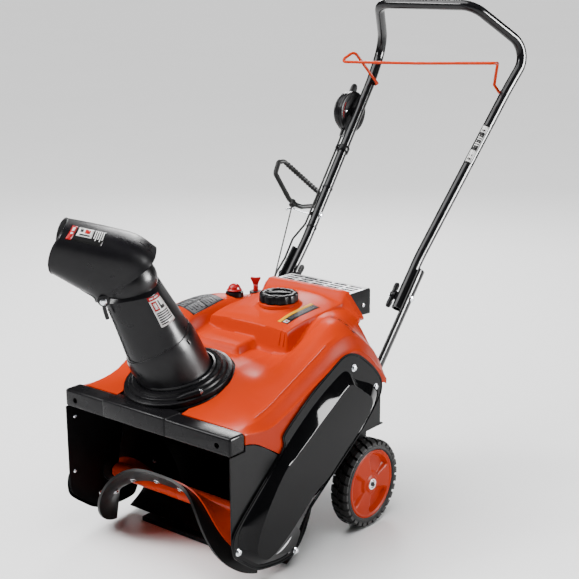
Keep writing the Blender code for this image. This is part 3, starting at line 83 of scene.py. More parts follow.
def surface(name, colour, rough, metal=0.0, vary=0.1, grain=60.0, bump=0.0, fine=900.0, spread=0.06,
            specks=0.0, gloss=0.5):
    """Principled material with cloudy colour, uneven roughness and a fine bump, all in object space."""
    mat = bpy.data.materials.new(name)
    mat.use_nodes = True
    tree = mat.node_tree
    link = tree.links.new
    shader = tree.nodes["Principled BSDF"].inputs
    shader["Metallic"].default_value = metal
    shader["Specular IOR Level"].default_value = gloss
    place = node(tree, "ShaderNodeTexCoord").outputs["Object"]

    def noise(scale, detail, distortion=0.0):
        item = node(tree, "ShaderNodeTexNoise", {"Scale": scale, "Detail": detail, "Distortion": distortion})
        link(place, item.inputs["Vector"])
        return item.outputs["Fac"]

    def spread_out(source, low, high, to_low, to_high):
        ends = {"From Min": low, "From Max": high, "To Min": to_low, "To Max": to_high}
        item = node(tree, "ShaderNodeMapRange", ends)
        link(source, item.inputs["Value"])
        return item.outputs["Result"]

    dark = [c * (1 - vary) for c in colour]
    light = [min(1.0, c * (1 + vary) + 0.002) for c in colour]
    mix = node(tree, "ShaderNodeMix", data_type="RGBA")
    mix.inputs[6].default_value = (*dark, 1)
    mix.inputs[7].default_value = (*light, 1)
    link(noise(grain, 5.0), mix.inputs["Factor"])
    last = mix.outputs[2]
    if specks:
        dust = node(tree, "ShaderNodeMix", data_type="RGBA")
        dust.inputs[7].default_value = (0.35, 0.34, 0.33, 1)
        link(spread_out(noise(260.0, 8.0), 0.66, 0.74, 0.0, specks), dust.inputs["Factor"])
        link(last, dust.inputs[6])
        last = dust.outputs[2]
    link(last, shader["Base Color"])
    ends = max(0.02, rough - spread), min(1.0, rough + spread)
    link(spread_out(noise(grain * 0.35, 7.0, 0.6), 0.3, 0.7, *ends), shader["Roughness"])
    if bump:
        lift = node(tree, "ShaderNodeBump", {"Strength": bump, "Distance": 0.0006})
        link(noise(fine, 3.0), lift.inputs["Height"])
        link(lift.outputs["Normal"], shader["Normal"])
    return mat


MATS = {"orange_plastic": surface("orange_plastic", (0.44, 0.024, 0.0), 0.33, vary=0.04, grain=14,
    bump=0.03, gloss=0.055), "orange_steel": surface("orange_steel", (0.44, 0.025, 0.0), 0.3, vary=0.06,
    grain=40, bump=0.04, specks=0.02, gloss=0.07), "black_plastic": surface("black_plastic",
    (0.0045, 0.0043, 0.005), 0.28, vary=0.2, bump=0.1, gloss=0.11),
    "chute_plastic": surface("chute_plastic", (0.0045, 0.0043, 0.0054), 0.31, vary=0.2, bump=0.06,
    gloss=0.2), "gloss_plastic": surface("gloss_plastic", (0.002, 0.002, 0.0025), 0.04, vary=0.15, grain=18,
    spread=0.01, gloss=0.08), "black_steel": surface("black_steel", (0.0045, 0.0043, 0.0047), 0.34,
    vary=0.25, bump=0.15, specks=0.03, gloss=0.09),
    "tube_steel": surface("tube_steel", (0.004, 0.004, 0.0047), 0.15, vary=0.2, bump=0.03, gloss=0.26),
    "tank_plastic": surface("tank_plastic", (0.05, 0.05, 0.05), 0.5, bump=0.2),
    "grip_plastic": surface("grip_plastic", (0.008, 0.008, 0.008), 0.42, vary=0.2, bump=0.3, gloss=0.2),
    "lever_plastic": surface("lever_plastic", (0.01, 0.01, 0.011), 0.38, vary=0.2, bump=0.2, gloss=0.25),
    "drum_plastic": surface("drum_plastic", (0.6, 0.6, 0.58), 0.5, bump=0.1),
    "paddle_rubber": surface("paddle_rubber", (0.005, 0.0046, 0.0048), 0.38, vary=0.25, bump=0.25, fine=500,
    specks=0.05, gloss=0.14), "tyre_rubber": surface("tyre_rubber", (0.0075, 0.007, 0.007), 0.5, vary=0.3,
    bump=0.5, fine=420, specks=0.06, gloss=0.18), "belt_rubber": surface("belt_rubber", (0.02, 0.02, 0.02),
    0.7, bump=0.3), "red_rubber": surface("red_rubber", (0.3, 0.002, 0.004), 0.3, bump=0.1, gloss=0.3),
    "red_plastic": surface("red_plastic", (0.3, 0.002, 0.004), 0.28, bump=0.05, gloss=0.3),
    "rope": surface("rope", (0.04, 0.04, 0.04), 0.85, vary=0.5, grain=700, bump=0.8, fine=1500, gloss=0.2),
    "cable_black": surface("cable_black", (0.008, 0.008, 0.008), 0.38, bump=0.1, gloss=0.3),
    "steel": surface("steel", (0.55, 0.55, 0.56), 0.28, 1.0, vary=0.12, bump=0.1),
    "zinc": surface("zinc", (0.74, 0.76, 0.79), 0.22, 1.0, vary=0.12, grain=220, bump=0.1),
    "guard_steel": surface("guard_steel", (0.5, 0.5, 0.51), 0.34, 0.8, vary=0.25, grain=90, bump=0.1),
    "muffler_steel": surface("muffler_steel", (0.2, 0.19, 0.18), 0.5, 0.9, vary=0.3, bump=0.3),
    "cast_alloy": surface("cast_alloy", (0.4, 0.41, 0.42), 0.5, 0.9, vary=0.2, bump=0.5, fine=500),
    "white_ceramic": surface("white_ceramic", (0.85, 0.85, 0.82), 0.2),}
PRINT = [
    surface("print_white", (0.62, 0.62, 0.61), 0.42, vary=0.05, gloss=0.2),
    surface("print_red", (0.36, 0.002, 0.004), 0.4, vary=0.08, gloss=0.15),
    surface("print_black", (0.006, 0.006, 0.006), 0.38, vary=0.15, gloss=0.15),
    surface("print_grey", (0.085, 0.085, 0.09), 0.45, vary=0.2, gloss=0.2),
    surface("print_yellow", (0.62, 0.3, 0.004), 0.4, vary=0.08, gloss=0.15),
    surface("print_orange", (0.44, 0.022, 0.0002), 0.34, vary=0.08, gloss=0.13),
]
WHITE, RED, BLACK, GREY, YELLOW, ORANGE = range(6)

SLOT_OF = {item["node"]: item["material_slot"] for item in frame["record"]["subparts"]}
for name, obj in frame["nodes"].items():
    obj.data.materials.clear()
    obj.data.materials.append(MATS[SLOT_OF[name]])


# ---------------------------------------------------------------- shaping tools
def at(x, y, z):
    return Vector((x, y, z)) + ROOT


def moved(points):
    """Points in machine coordinates, moved into the row frame."""
    return [p + ROOT for p in points]


def spots(*places):
    return [Vector(place) for place in places]


def mesh_piece(name, verts, faces, angle=35):
    mesh = bpy.data.meshes.new(name)
    mesh.from_pydata([tuple(v) for v in verts], [], faces)
    bm = bmesh.new()
    bm.from_mesh(mesh)
    bmesh.ops.remove_doubles(bm, verts=bm.verts, dist=1e-6)
    bmesh.ops.recalc_face_normals(bm, faces=bm.faces)
    bm.to_mesh(mesh)
    bm.free()
    obj = bpy.data.objects.new(name, mesh)
    bpy.context.scene.collection.objects.link(obj)
    mesh.shade_smooth()
    mesh.set_sharp_from_angle(angle=radians(angle))
    return obj


def settle(obj, angle=35):
    """Apply the modifiers of a piece, so that it is one plain mesh."""
    graph = bpy.context.evaluated_depsgraph_get()
    mesh = bpy.data.meshes.new_from_object(obj.evaluated_get(graph))
    obj.modifiers.clear()
    obj.data = mesh
    mesh.shade_smooth()
    mesh.set_sharp_from_angle(angle=radians(angle))
    return obj


def combine(obj, other, operation="DIFFERENCE", angle=35, solver="EXACT"):
    mod = obj.modifiers.new("cut", "BOOLEAN")
    mod.object = other
    mod.operation = operation
    mod.solver = solver
    settle(obj, angle)
    bpy.data.objects.remove(other, do_unlink=True)
    return obj


def shell(obj, thickness, offset=-1.0, angle=35, even=True):
    mod = obj.modifiers.new("wall", "SOLIDIFY")
    mod.thickness = thickness
    mod.offset = offset
    mod.use_even_offset = even
    return settle(obj, angle)


def soften(obj, width, segments=2, angle=30):
    mod = obj.modifiers.new("edges", "BEVEL")
    mod.width = width
    mod.segments = segments
    mod.limit_method = "ANGLE"
    mod.angle_limit = radians(angle)
    mod.harden_normals = False
    return settle(obj)


def face_up(obj):
    """Turn an open skin over when most of it faces down."""
    bm = bmesh.new()
    bm.from_mesh(obj.data)
    if sum(f.normal.z * f.calc_area() for f in bm.faces) < 0:
        bmesh.ops.reverse_faces(bm, faces=bm.faces)
    bm.to_mesh(obj.data)
    bm.free()


def fit(obj, body, slot, *nodes, look=None):
    """Give a piece its material, from its slot unless a look is given, and its body, and hide the nodes that
    it stands in for.
    """
    obj.data.materials.clear()
    obj.data.materials.append(look or MATS[slot])
    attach(obj, body)
    if nodes:
        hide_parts(*nodes)
    return obj


def skin(rings, closed=True, caps=False):
    """Vertices and four-sided faces that join rings of equal length."""
    n = len(rings[0])
    verts = [v for ring in rings for v in ring]
    faces = []
    for i in range(len(rings) - 1):
        for j in range(n if closed else n - 1):
            k = (j + 1) % n
            faces.append((i * n + j, i * n + k, (i + 1) * n + k, (i + 1) * n + j))
    if caps:
        faces.append(tuple(range(n)))
        faces.append(tuple(range((len(rings) - 1) * n, len(rings) * n)))
    return verts, faces


def drum(radius, low, high):
    """Profile of a plain cylinder."""
    return [(0, low), (radius, low), (radius, high), (0, high)]


def lathe(name, profile, place, steps=64, wave=None, angle=35):
    """Turn (radius, height) pairs about the Z axis of a matrix. wave(angle, radius) scales the radius."""
    rings = []
    for i in range(steps):
        a = 2 * pi * i / steps
        ring = []
        for r, h in profile:
            rr = r * (wave(a, r) if wave else 1.0)
            ring.append(place @ Vector((rr * cos(a), rr * sin(a), h)))
        rings.append(ring)
    rings.append(rings[0])
    n = len(profile)
    verts = [v for ring in rings for v in ring]
    faces = []
    for i in range(steps):
        for j in range(n - 1):
            faces.append((i * n + j, (i + 1) * n + j, (i + 1) * n + j + 1, i * n + j + 1))
    obj = mesh_piece(name, verts, faces, angle)
    bm = bmesh.new()
    bm.from_mesh(obj.data)
    bmesh.ops.dissolve_degenerate(bm, edges=bm.edges, dist=1e-7)
    bmesh.ops.recalc_face_normals(bm, faces=bm.faces)
    bm.to_mesh(obj.data)
    bm.free()
    obj.data.set_sharp_from_angle(angle=radians(angle))
    return obj


def along(point, direction, spin=0.0):
    """Matrix at a point with Z along a direction."""
    turn = Vector(direction).to_track_quat("Z", "Y").to_matrix().to_4x4()
    return Matrix.Translation(point) @ turn @ Matrix.Rotation(spin, 4, "Z")


def rounded(points, radii, steps=8):
    points = [Vector(p) for p in points]
    out = [points[0]]
    for i in range(1, len(points) - 1):
        radius = radii[i - 1] if isinstance(radii, (list, tuple)) else radii
        a = (points[i - 1] - points[i]).normalized()
        b = (points[i + 1] - points[i]).normalized()
        half = a.angle(b) / 2
        if radius <= 0 or half > radians(89.2):
            out.append(points[i])
            continue
        reach = 0.49 * min((points[i - 1] - points[i]).length, (points[i + 1] - points[i]).length)
        radius = min(radius, reach * sin(half) / cos(half))
        cut = radius * cos(half) / sin(half)
        centre = points[i] + (a + b).normalized() * (radius / sin(half))
        start = points[i] + a * cut - centre
        end = points[i] + b * cut - centre
        total = start.angle(end)
        axis = start.cross(end).normalized()
        for k in range(steps + 1):
            out.append(centre + Matrix.Rotation(total * k / steps, 3, axis) @ start)
    out.append(points[-1])
    return out


def resample(points, step):
    out = [points[0].copy()]
    for a, b in zip(points, points[1:]):
        count = max(1, int((b - a).length / step))
        for k in range(1, count + 1):
            out.append(a.lerp(b, k / count))
    return out


def sweep(name, points, radius, segments=20, closed=False, angle=50, hollow=0.0):
    """A tube along points; radius may be a function of the share of the way along."""
    points = [Vector(p) for p in points]
    n = len(points)
    tangents = []
    for i in range(n):
        a = points[i - 1] if (i > 0 or closed) else points[i]
        b = points[(i + 1) % n] if (i < n - 1 or closed) else points[i]
        tangents.append((b - a).normalized())
    side = tangents[0].orthogonal().normalized()
    sides = [side]
    for i in range(1, n):
        turn = tangents[i - 1].rotation_difference(tangents[i])
        side = (turn @ side).normalized()
        side = (side - tangents[i] * side.dot(tangents[i])).normalized()
        sides.append(side)
    twist = 0.0
    if closed:
        turn = tangents[-1].rotation_difference(tangents[0])
        final = (turn @ sides[-1]).normalized()
        twist = atan2(final.cross(sides[0]).dot(tangents[0]), final.dot(sides[0]))
    rings = []
    for i in range(n):
        r = radius(i / (n - 1)) if callable(radius) else radius
        extra = twist * i / n
        up = tangents[i].cross(sides[i])
        ring = []
        for k in range(segments):
            a = 2 * pi * k / segments + extra
            ring.append(points[i] + (sides[i] * cos(a) + up * sin(a)) * r)
        rings.append(ring)
    if closed:
        rings.append(rings[0])
    verts, faces = skin(rings, caps=not closed and not hollow)
    obj = mesh_piece(name, verts, faces, angle)
    if hollow:
        shell(obj, hollow, angle=angle)
    return obj


def slab(name, outline, place, thickness, edge=0.0008, segments=2):
    """A flat plate: outline in the XY plane of a matrix, thickness along its Z."""
    n = len(outline)
    verts = [place @ Vector((a, b, 0)) for a, b in outline]
    verts += [place @ Vector((a, b, thickness)) for a, b in outline]
    faces = [tuple(range(n)), tuple(range(n, 2 * n))]
    faces += [(i, (i + 1) % n, n + (i + 1) % n, n + i) for i in range(n)]
    obj = mesh_piece(name, verts, faces, 30)
    if edge:
        soften(obj, edge, segments)
    return obj


def block(name, low, high, edge=0.001, segments=3, place=None):
    place = place or Matrix.Translation(ROOT)
    outline = [(low[0], low[1]), (high[0], low[1]), (high[0], high[1]), (low[0], high[1])]
    return slab(name, outline, place @ Matrix.Translation((0, 0, low[2])), high[2] - low[2], edge, segments)


def cubic(values, t):
    """Catmull-Rom value at place t along a list."""
    t = min(max(t, 0.0), len(values) - 1.0)
    i = min(int(t), len(values) - 2)
    f = t - i
    p1, p2 = values[i], values[i + 1]
    p0 = values[i - 1] if i > 0 else p1
    p3 = values[i + 2] if i + 2 < len(values) else p2
    return 0.5 * (2 * p1 + (p2 - p0) * f + (2 * p0 - 5 * p1 + 4 * p2 - p3) * f * f
        + (3 * p1 - p0 - 3 * p2 + p3) * f ** 3)


def locate(keys, value):
    """The place of a value along a rising list, as a real index."""
    if value <= keys[0]:
        return 0.0
    for i in range(len(keys) - 1):
        if value <= keys[i + 1]:
            return i + (value - keys[i]) / (keys[i + 1] - keys[i])
    return len(keys) - 1.0


def step(a, b, x):
    t = min(max((x - a) / (b - a), 0.0), 1.0)
    return t * t * (3 - 2 * t)


def soft_max(a, b, width):
    """The larger of two heights, with a fillet where they meet."""
    d = a - b
    if abs(d) >= width:
        return max(a, b)
    return max(a, b) + (width - abs(d)) ** 2 / (4 * width)


# ---------------------------------------------------------------- fasteners
def hex_bolt(name, point, direction, body, size=0.0062, height=0.004, washer=0.0085, mat="zinc"):
    place = along(point, direction)
    ring = [(0, 0.0), (washer, 0.0), (washer, 0.001), (washer - 0.0005, 0.0014), (0.0, 0.0014)]
    obj = lathe(name + "_washer", ring, place, 32)
    fit(obj, body, mat)
    outline = [(size * cos(k * pi / 3), size * sin(k * pi / 3)) for k in range(6)]
    head = slab(name + "_head", outline, place @ Matrix.Translation((0, 0, 0.0012)), height, 0.0006)
    fit(head, body, mat)
    mark = lathe(name + "_dimple", [(0.0, 0.0), (size * 0.42, 0.0), (size * 0.42, 0.0006), (0, 0.0006)],
                 place @ Matrix.Translation((0, 0, height + 0.001)), 20)
    fit(mark, body, "steel")


def pan_screw(name, point, direction, body, size=0.0065, mat="zinc"):
    place = along(point, direction, 0.4)
    dome = [(0, 0.0), (size, 0.0), (size, 0.0008), (size * 0.86, 0.0022), (size * 0.5, 0.0032), (0, 0.0035)]
    obj = lathe(name, dome, place, 28)
    for k in range(2):
        slot = block(name + "_slot", (-size * 0.55, -0.0006, 0.002), (size * 0.55, 0.0006, 0.005), 0,
                     place=place @ Matrix.Rotation(k * pi / 2, 4, "Z"))
        combine(obj, slot)
    fit(obj, body, mat)


def patch(name, surf, parts, body, grid=0.006):
    """Printed plate: rectangles (a0, a1, b0, b1, ink, lift) laid on surf(a, b, lift)."""
    verts = []
    faces = []
    inks = []
    for a0, a1, b0, b1, ink, lift in parts:
        na = max(1, min(24, int((surf(a0, b0, 0) - surf(a1, b0, 0)).length / grid)))
        nb = max(1, min(24, int((surf(a0, b0, 0) - surf(a0, b1, 0)).length / grid)))
        base = len(verts)
        for i in range(na + 1):
            for j in range(nb + 1):
                verts.append(surf(a0 + (a1 - a0) * i / na, b0 + (b1 - b0) * j / nb, lift))
        for i in range(na):
            for j in range(nb):
                q = base + i * (nb + 1) + j
                faces.append((q, q + 1, q + nb + 2, q + nb + 1))
                inks.append(ink)
    mesh = bpy.data.meshes.new(name)
    mesh.from_pydata([tuple(v) for v in verts], [], faces)
    for mat in PRINT:
        mesh.materials.append(mat)
    mesh.polygons.foreach_set("material_index", inks)
    mesh.shade_smooth()
    obj = bpy.data.objects.new(name, mesh)
    bpy.context.scene.collection.objects.link(obj)
    mod = obj.modifiers.new("sheet", "SOLIDIFY")
    mod.thickness = 0.00015
    mod.offset = 1.0
    graph = bpy.context.evaluated_depsgraph_get()
    obj.data = bpy.data.meshes.new_from_object(obj.evaluated_get(graph))
    obj.modifiers.clear()
    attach(obj, body)
    return obj


def round_plate(layout, start, end):
    """Rectangles whose sides are shares of an arc, as rectangles between angles."""
    wide = end - start
    return [(t0, t1, start + wide * f0, start + wide * f1, ink, lift) for t0, t1, f0, f1, ink, lift in layout]


# ---------------------------------------------------------------- frame of the chute
RING_AT = Vector((-0.03, -0.165, 0.383))
RING_TILT = radians(15)
RING = Matrix.Translation(RING_AT + ROOT) @ Matrix.Rotation(RING_TILT, 4, "X")
CHUTE = RING @ Matrix.Rotation(-pi / 2 - radians(50), 4, "Z")


# place of the seam between the sleeve and the body, along BODY_RINGS
SEAM = 4.45


def signed_power(value, power):
    return abs(value) ** (2 / power) * (1 if value >= 0 else -1)


BODY_RINGS = (
    # reach back, reach forward, half width, height, squareness, tip of the plane
    (-0.08, 0.083, 0.081, -0.015, 2.0, 0.0),
    (-0.074, 0.086, 0.08, 0.015, 2.0, 0.0),
    (-0.068, 0.094, 0.079, 0.04, 2.15, 0.0),
    (-0.056, 0.0955, 0.077, 0.072, 2.3, 0.2),
    (-0.048, 0.095, 0.0745, 0.086, 2.4, 0.26),
    (-0.044, 0.0945, 0.0725, 0.093, 2.5, 0.28),
    (-0.034, 0.0985, 0.0655, 0.13, 2.8, 0.15),
    (-0.02, 0.104, 0.06, 0.175, 3.1, 0.05),
    (-0.0075, 0.1095, 0.0565, 0.213, 3.4, 0.0),
)


def body_point(t, a, lift=0.0):
    """A point of the chute body: t along its rings, a round it from the throwing side."""
    low, high, half, w, power, rise = [cubic([ring[k] for ring in BODY_RINGS], t) for k in range(6)]
    mid = (low + high) / 2
    reach = (high - low) / 2
    c, s = cos(a), sin(a)
    u = mid + reach * signed_power(c, power)
    v = half * signed_power(s, power)
    if lift:
        out = Vector((signed_power(c, 2 * power / (2 * power - 2 + 1e-9)) / reach, s / half)).normalized()
        u += out.x * lift
        v += out.y * lift
    return Vector((u, v, w - rise * (u - mid)))


def chute_parts():
    steps = 72
    # sleeve below the seam, then the body, set in a little
    places = [0.5 * i for i in range(9)] + [SEAM]
    rings = [[CHUTE @ body_point(t, 2 * pi * k / steps) for k in range(steps)] for t in places]
    for i in range(19):
        t = SEAM + (8 - SEAM) * i / 18
        rings.append([CHUTE @ body_point(t, 2 * pi * k / steps, -0.0011) for k in range(steps)])
    # first part of a dome that follows on from the body
    for i in range(6):
        rise = radians(-18 + 9.5 * i)
        ring = []
        for k in range(steps):
            c, s = cos(2 * pi * k / steps), sin(2 * pi * k / steps)
            u = 0.0505 + 0.0572 * cos(rise) * signed_power(c, 2.5 if c > 0 else 2.0)
            v = 0.053 * cos(rise) * signed_power(s, 2.3)
            ring.append(CHUTE @ Vector((u, v, 0.235 + 0.0572 * sin(rise) * 0.9)))
        rings.append(ring)
    verts, faces = skin(rings)
    obj = mesh_piece("chute_shell", verts, faces, 32)
    shell(obj, 0.0024, angle=32)
    fit(obj, "chute", "chute_plastic", "chute_body")
    ring = [(0.079, -0.018), (0.0955, -0.018), (0.0955, -0.0155), (0.0845, -0.015), (0.0843, 0.0125),
        (0.0836, 0.015), (0.08, 0.0165), (0.079, -0.018)]
    fit(lathe("chute_flange", ring, RING, 72), "chute", "chute_plastic")
    # bead round the near and far panels, from the pivot down and back along the seam
    for side in (1, -1):
        line = [body_point(7.55 - 0.28 * i, side * radians(37), 0.0002) for i in range(9)]
        line += [body_point(5.05 - 0.1 * i, side * radians(39 + 5.5 * i), 0.0002) for i in range(5)]
        line += [body_point(4.62, side * radians(66 + 9 * i), -0.0004) for i in range(13)]
        line = rounded([CHUTE @ p for p in line], 0.008, 3)
        fit(sweep(f"panel_bead_{side}", line, 0.0011, 8), "chute", "chute_plastic")
        eye = CHUTE @ Vector((0.1, side * 0.0578, 0.226))
        outward = (CHUTE.to_3x3() @ Vector((0, side, 0))).normalized()
        pan_screw(f"deflector_screw_{side}", eye + outward * 0.0036, outward, "chute", 0.0068)
        ear = [(0, -0.006), (0.0125, -0.006), (0.0125, 0.0028), (0.0113, 0.0036), (0, 0.0036)]
        fit(lathe(f"pivot_ear_{side}", ear, along(eye, outward), 40), "chute", "chute_plastic")
        strap = ((0.1015, 0.0582, 0.223), (0.103, 0.058, 0.205), (0.102, 0.0592, 0.185))
        strap = [CHUTE @ Vector((u, side * v, w)) for u, v, w in strap]
        fit(sweep(f"pivot_strap_{side}", resample(strap, 0.004), 0.0042, 12), "chute", "chute_plastic")
    # blind hole in the sleeve
    spot = CHUTE @ body_point(2.35, radians(52), 0.0)
    outward = (CHUTE.to_3x3() @ Vector((cos(radians(52)), sin(radians(52)), 0))).normalized()
    hole = [(0.0052, 0.0009), (0.0044, 0.0009), (0.004, -0.004), (0, -0.004)]
    cup = lathe("sleeve_hole", hole, along(spot, outward), 28)
    fit(cup, "chute", "chute_plastic", look=MATS["black_steel"])
    notch = [CHUTE @ body_point(3.15, radians(150), 0.0008), CHUTE @ body_point(3.7, radians(150), 0.0008)]
    fit(sweep("sleeve_catch", notch, 0.0024, 10), "chute", "chute_plastic")

    def label_surf(a, b, lift):
        return CHUTE @ body_point(a, b, 0.0004 + lift - 0.0011)

    layout = [(6.25, 7.95, 0.0, 1.0, WHITE, 0.0), (7.66, 7.95, 0.0, 1.0, RED, 0.0002)]
    layout += [(7.75, 7.86, 0.1, 0.36, WHITE, 0.0004), (7.75, 7.86, 0.46, 0.8, WHITE, 0.0004)]
    layout += [(7.08, 7.58, 0.08, 0.42, RED, 0.0003), (7.17, 7.49, 0.16, 0.34, WHITE, 0.0005)]
    layout += [(7.1, 7.56, 0.52, 0.63, BLACK, 0.0003), (7.1, 7.26, 0.6, 0.84, BLACK, 0.0003)]
    for k in range(6):
        b = 6.98 - 0.115 * k
        layout.append((b - 0.062, b, 0.08, 0.9 if k != 5 else 0.5, BLACK, 0.0003))
    parts = round_plate(layout, radians(114), radians(158))
    patch("body_plate", label_surf, parts, "chute", 0.004)


TOPS = ((-0.015, 0.283), (0.002, 0.306), (0.024, 0.325), (0.065, 0.346), (0.109, 0.366), (0.153, 0.384))
LOWS = ((0.125, 0.214), (0.129, 0.224), (0.1385, 0.235), (0.157, 0.251), (0.177, 0.269), (0.199, 0.29))
WIDTHS = (0.0618, 0.062, 0.0622, 0.0618, 0.061, 0.06)
SQUARE = (3.4, 3.2, 3.0, 2.8, 2.7, 2.7)


def deflector_point(t, a, lift=0.0):
    """A point of the deflector: t along it, a round it from the top."""
    top = Vector((cubic([p[0] for p in TOPS], t), 0, cubic([p[1] for p in TOPS], t)))
    low = Vector((cubic([p[0] for p in LOWS], t), 0, cubic([p[1] for p in LOWS], t)))
    half = cubic(WIDTHS, t)
    power = cubic(SQUARE, t)
    up = (top - low) / 2
    c, s = cos(a), sin(a)
    point = (top + low) / 2 + up * signed_power(c, power) + Vector((0, half * signed_power(s, power), 0))
    middle = 1 - abs(c) ** 1.6
    point += Vector((0.9, 0, 0.42)) * (0.015 * middle - 0.0085) * step(3.0, 5.0, t)
    if lift:
        out = up.normalized() * (signed_power(c, 2 * power / (2 * power - 2)) / up.length)
        point += (out + Vector((0, s / half, 0))).normalized() * lift
    return point


def deflector_parts():
    steps = 72
    rings = []
    for i in range(26):
        # the first two rings stand out as a rolled edge
        lift = 0.0009 if i < 2 else 0.0
        turns = [2 * pi * k / steps for k in range(steps)]
        rings.append([CHUTE @ deflector_point(i / 5, a, lift - 0.0002) for a in turns])
    verts, faces = skin(rings)
    obj = mesh_piece("deflector_shell", verts, faces, 40)
    shell(obj, 0.0024, angle=40)
    fit(obj, "deflector", "chute_plastic", "deflector")
    lip = [CHUTE @ deflector_point(4.96, 2 * pi * k / steps, -0.001) for k in range(steps)]
    fit(sweep("deflector_lip", lip, 0.0018, 10, closed=True), "deflector", "chute_plastic")
    for side in (1, -1):
        hem = [CHUTE @ deflector_point(t, side * radians(a), 0.0002) for t, a in
               ((2.9, 166), (2.4, 158), (1.9, 149), (1.4, 143), (0.9, 141), (0.4, 146), (0.1, 152))]
        fit(sweep(f"deflector_hem_{side}", rounded(hem, 0.02, 4), 0.001, 8), "deflector", "chute_plastic")

    def label_surf(a, b, lift):
        return CHUTE @ deflector_point(a, b, 0.0003 + lift)

    layout = [(3.12, 4.62, 0.0, 1.0, BLACK, 0.0), (4.4, 4.62, 0.0, 1.0, RED, 0.0002)]
    layout += [(4.46, 4.56, 0.12, 0.4, WHITE, 0.0004), (4.46, 4.56, 0.5, 0.62, WHITE, 0.0004)]
    layout += [(3.66, 4.32, 0.04, 0.66, WHITE, 0.0002), (4.12, 4.24, 0.1, 0.34, BLACK, 0.0004)]
    layout += [(3.8, 4.04, 0.12, 0.4, RED, 0.0004), (3.76, 4.22, 0.48, 0.58, BLACK, 0.0004)]
    for k in range(5):
        b = 3.58 - 0.09 * k
        layout.append((b - 0.045, b, 0.05, 0.74 if k % 2 else 0.62, WHITE, 0.0003))
    parts = round_plate(layout, radians(4), radians(47))
    patch("deflector_plate", label_surf, parts, "deflector", 0.004)


def ring_parts():
    section = [(0.085, -0.012), (0.116, -0.012), (0.1175, -0.0105), (0.1175, -0.003), (0.1166, -0.0016),
        (0.115, -0.0008), (0.1075, 0.0), (0.1066, 0.001), (0.1058, 0.0042), (0.1046, 0.0052),
        (0.0985, 0.006), (0.0974, 0.007), (0.0966, 0.0102), (0.0952, 0.0116), (0.088, 0.012),
        (0.0862, 0.0112), (0.0852, 0.009), (0.085, -0.012)]
    obj = lathe("ring_skin", section, RING, 96, angle=25)
    fit(obj, "frame", "black_plastic", "chute_ring")
    # screw boss on the near side of the ring
    a = RING @ Vector((0.072, -0.079, 0.003))
    b = RING @ Vector((0.101, -0.04, 0.0045))
    fit(sweep("ring_boss", resample([a, b], 0.004), lambda s: 0.0085 * (0.55 + 0.45 * step(0, 0.35, s)),
        24), "frame", "black_plastic")
    way = (b - a).normalized()
    hex_bolt("ring_screw", b - way * 0.0002, way, "frame", 0.0052, 0.0042, 0.007)


# ---------------------------------------------------------------- front
def front_parts():
    cap = block("cap_bar", (-0.2365, -0.3, 0.3045), (0.2365, -0.256, 0.3438), 0.0055, 4)
    mid = block("cap_mid", (-0.119, -0.3022, 0.3058), (0.063, -0.252, 0.3464), 0.005, 4)
    combine(cap, mid, "UNION", 30)
    for k, x in enumerate((-0.205, 0.202)):
        hole = lathe(f"cap_hole_{k}", drum(0.0062, -0.01, 0.01),
                     along(at(x, -0.3, 0.3225), (0, -1, 0)), 32)
        combine(cap, hole, angle=30)
    fit(cap, "frame", "black_plastic", "front_cap")
    seat = [(0.101, -0.048), (0.1205, -0.048), (0.1205, -0.0165), (0.119, -0.0135), (0.1165, -0.0128),
        (0.101, -0.0128), (0.101, -0.048)]
    fit(lathe("cap_seat", seat, RING, 96, angle=25), "frame", "black_plastic")
    # plate between the bar and the seat
    outline = [(-0.114, -0.262), (0.058, -0.262), (0.066, -0.235), (0.06, -0.214), (0.03, -0.19),
        (-0.09, -0.19), (-0.134, -0.212), (-0.134, -0.235)]
    slope = Matrix.Translation(at(0, 0, 0.3395)) @ Matrix.Rotation(radians(1.5), 4, "X")
    deck = slab("cap_deck", outline, slope, 0.007, 0.002, 2)
    well = lathe("deck_well", drum(0.1185, -0.1, 0.1), RING, 64)
    combine(deck, well)
    fit(deck, "frame", "black_plastic")
    # curved back of the intake, finer than the CAD one
    section = [(-0.262, 0.3006), (-0.06, 0.3547), (-0.043, 0.352), (-0.032, 0.335), (-0.028, 0.31),
        (-0.028, 0.25), (-0.03, 0.19), (-0.036, 0.14), (-0.048, 0.098), (-0.068, 0.06), (-0.095, 0.032),
        (-0.128, 0.0125)]
    ys = [p[0] for p in section]
    zs = [p[1] for p in section]
    curve = [(ys[0], zs[0]), (ys[1], zs[1])]
    curve += [(cubic(ys[1:], 0.25 * k), cubic(zs[1:], 0.25 * k)) for k in range(1, 41)]
    rings = [[at(x, y, z) for y, z in curve] for x in (-0.2331, 0.2331)]
    verts, faces = skin(rings, closed=False)
    back = mesh_piece("intake_skin", verts, faces, 40)
    shell(back, 0.002, 0.0, 40)
    throat = lathe("throat_cut", drum(0.092, -0.1, 0.02), RING, 64)
    combine(back, throat, angle=40)
    fit(back, "frame", "black_steel", "auger_housing")
    # rivets and bolts seen on the inner and outer faces of the side plates
    for k, (y, z) in enumerate(((-0.285, 0.15), (-0.278, 0.275), (-0.215, 0.075), (-0.15, 0.25))):
        pan_screw(f"plate_rivet_{k}", at(-0.2343, y, z), (1, 0, 0), "frame", 0.005)
    for k in range(2):
        pan_screw(f"back_rivet_{k}", at(-0.15 + 0.11 * k, -0.0305, 0.235 - 0.02 * k), (0, -1, 0), "frame",
            0.005)
    hem = [at(0.2355, -0.2995, 0.302), at(0.2355, -0.2995, 0.12), at(0.2355, -0.2935, 0.1)]
    fit(sweep("plate_hem_left", resample(hem, 0.01), 0.0012, 8), "frame", "black_steel")
    hem = [at(-0.2355, p.y - ROOT.y, p.z) for p in hem]
    fit(sweep("plate_hem_right", resample(hem, 0.01), 0.0012, 8), "frame", "black_steel")


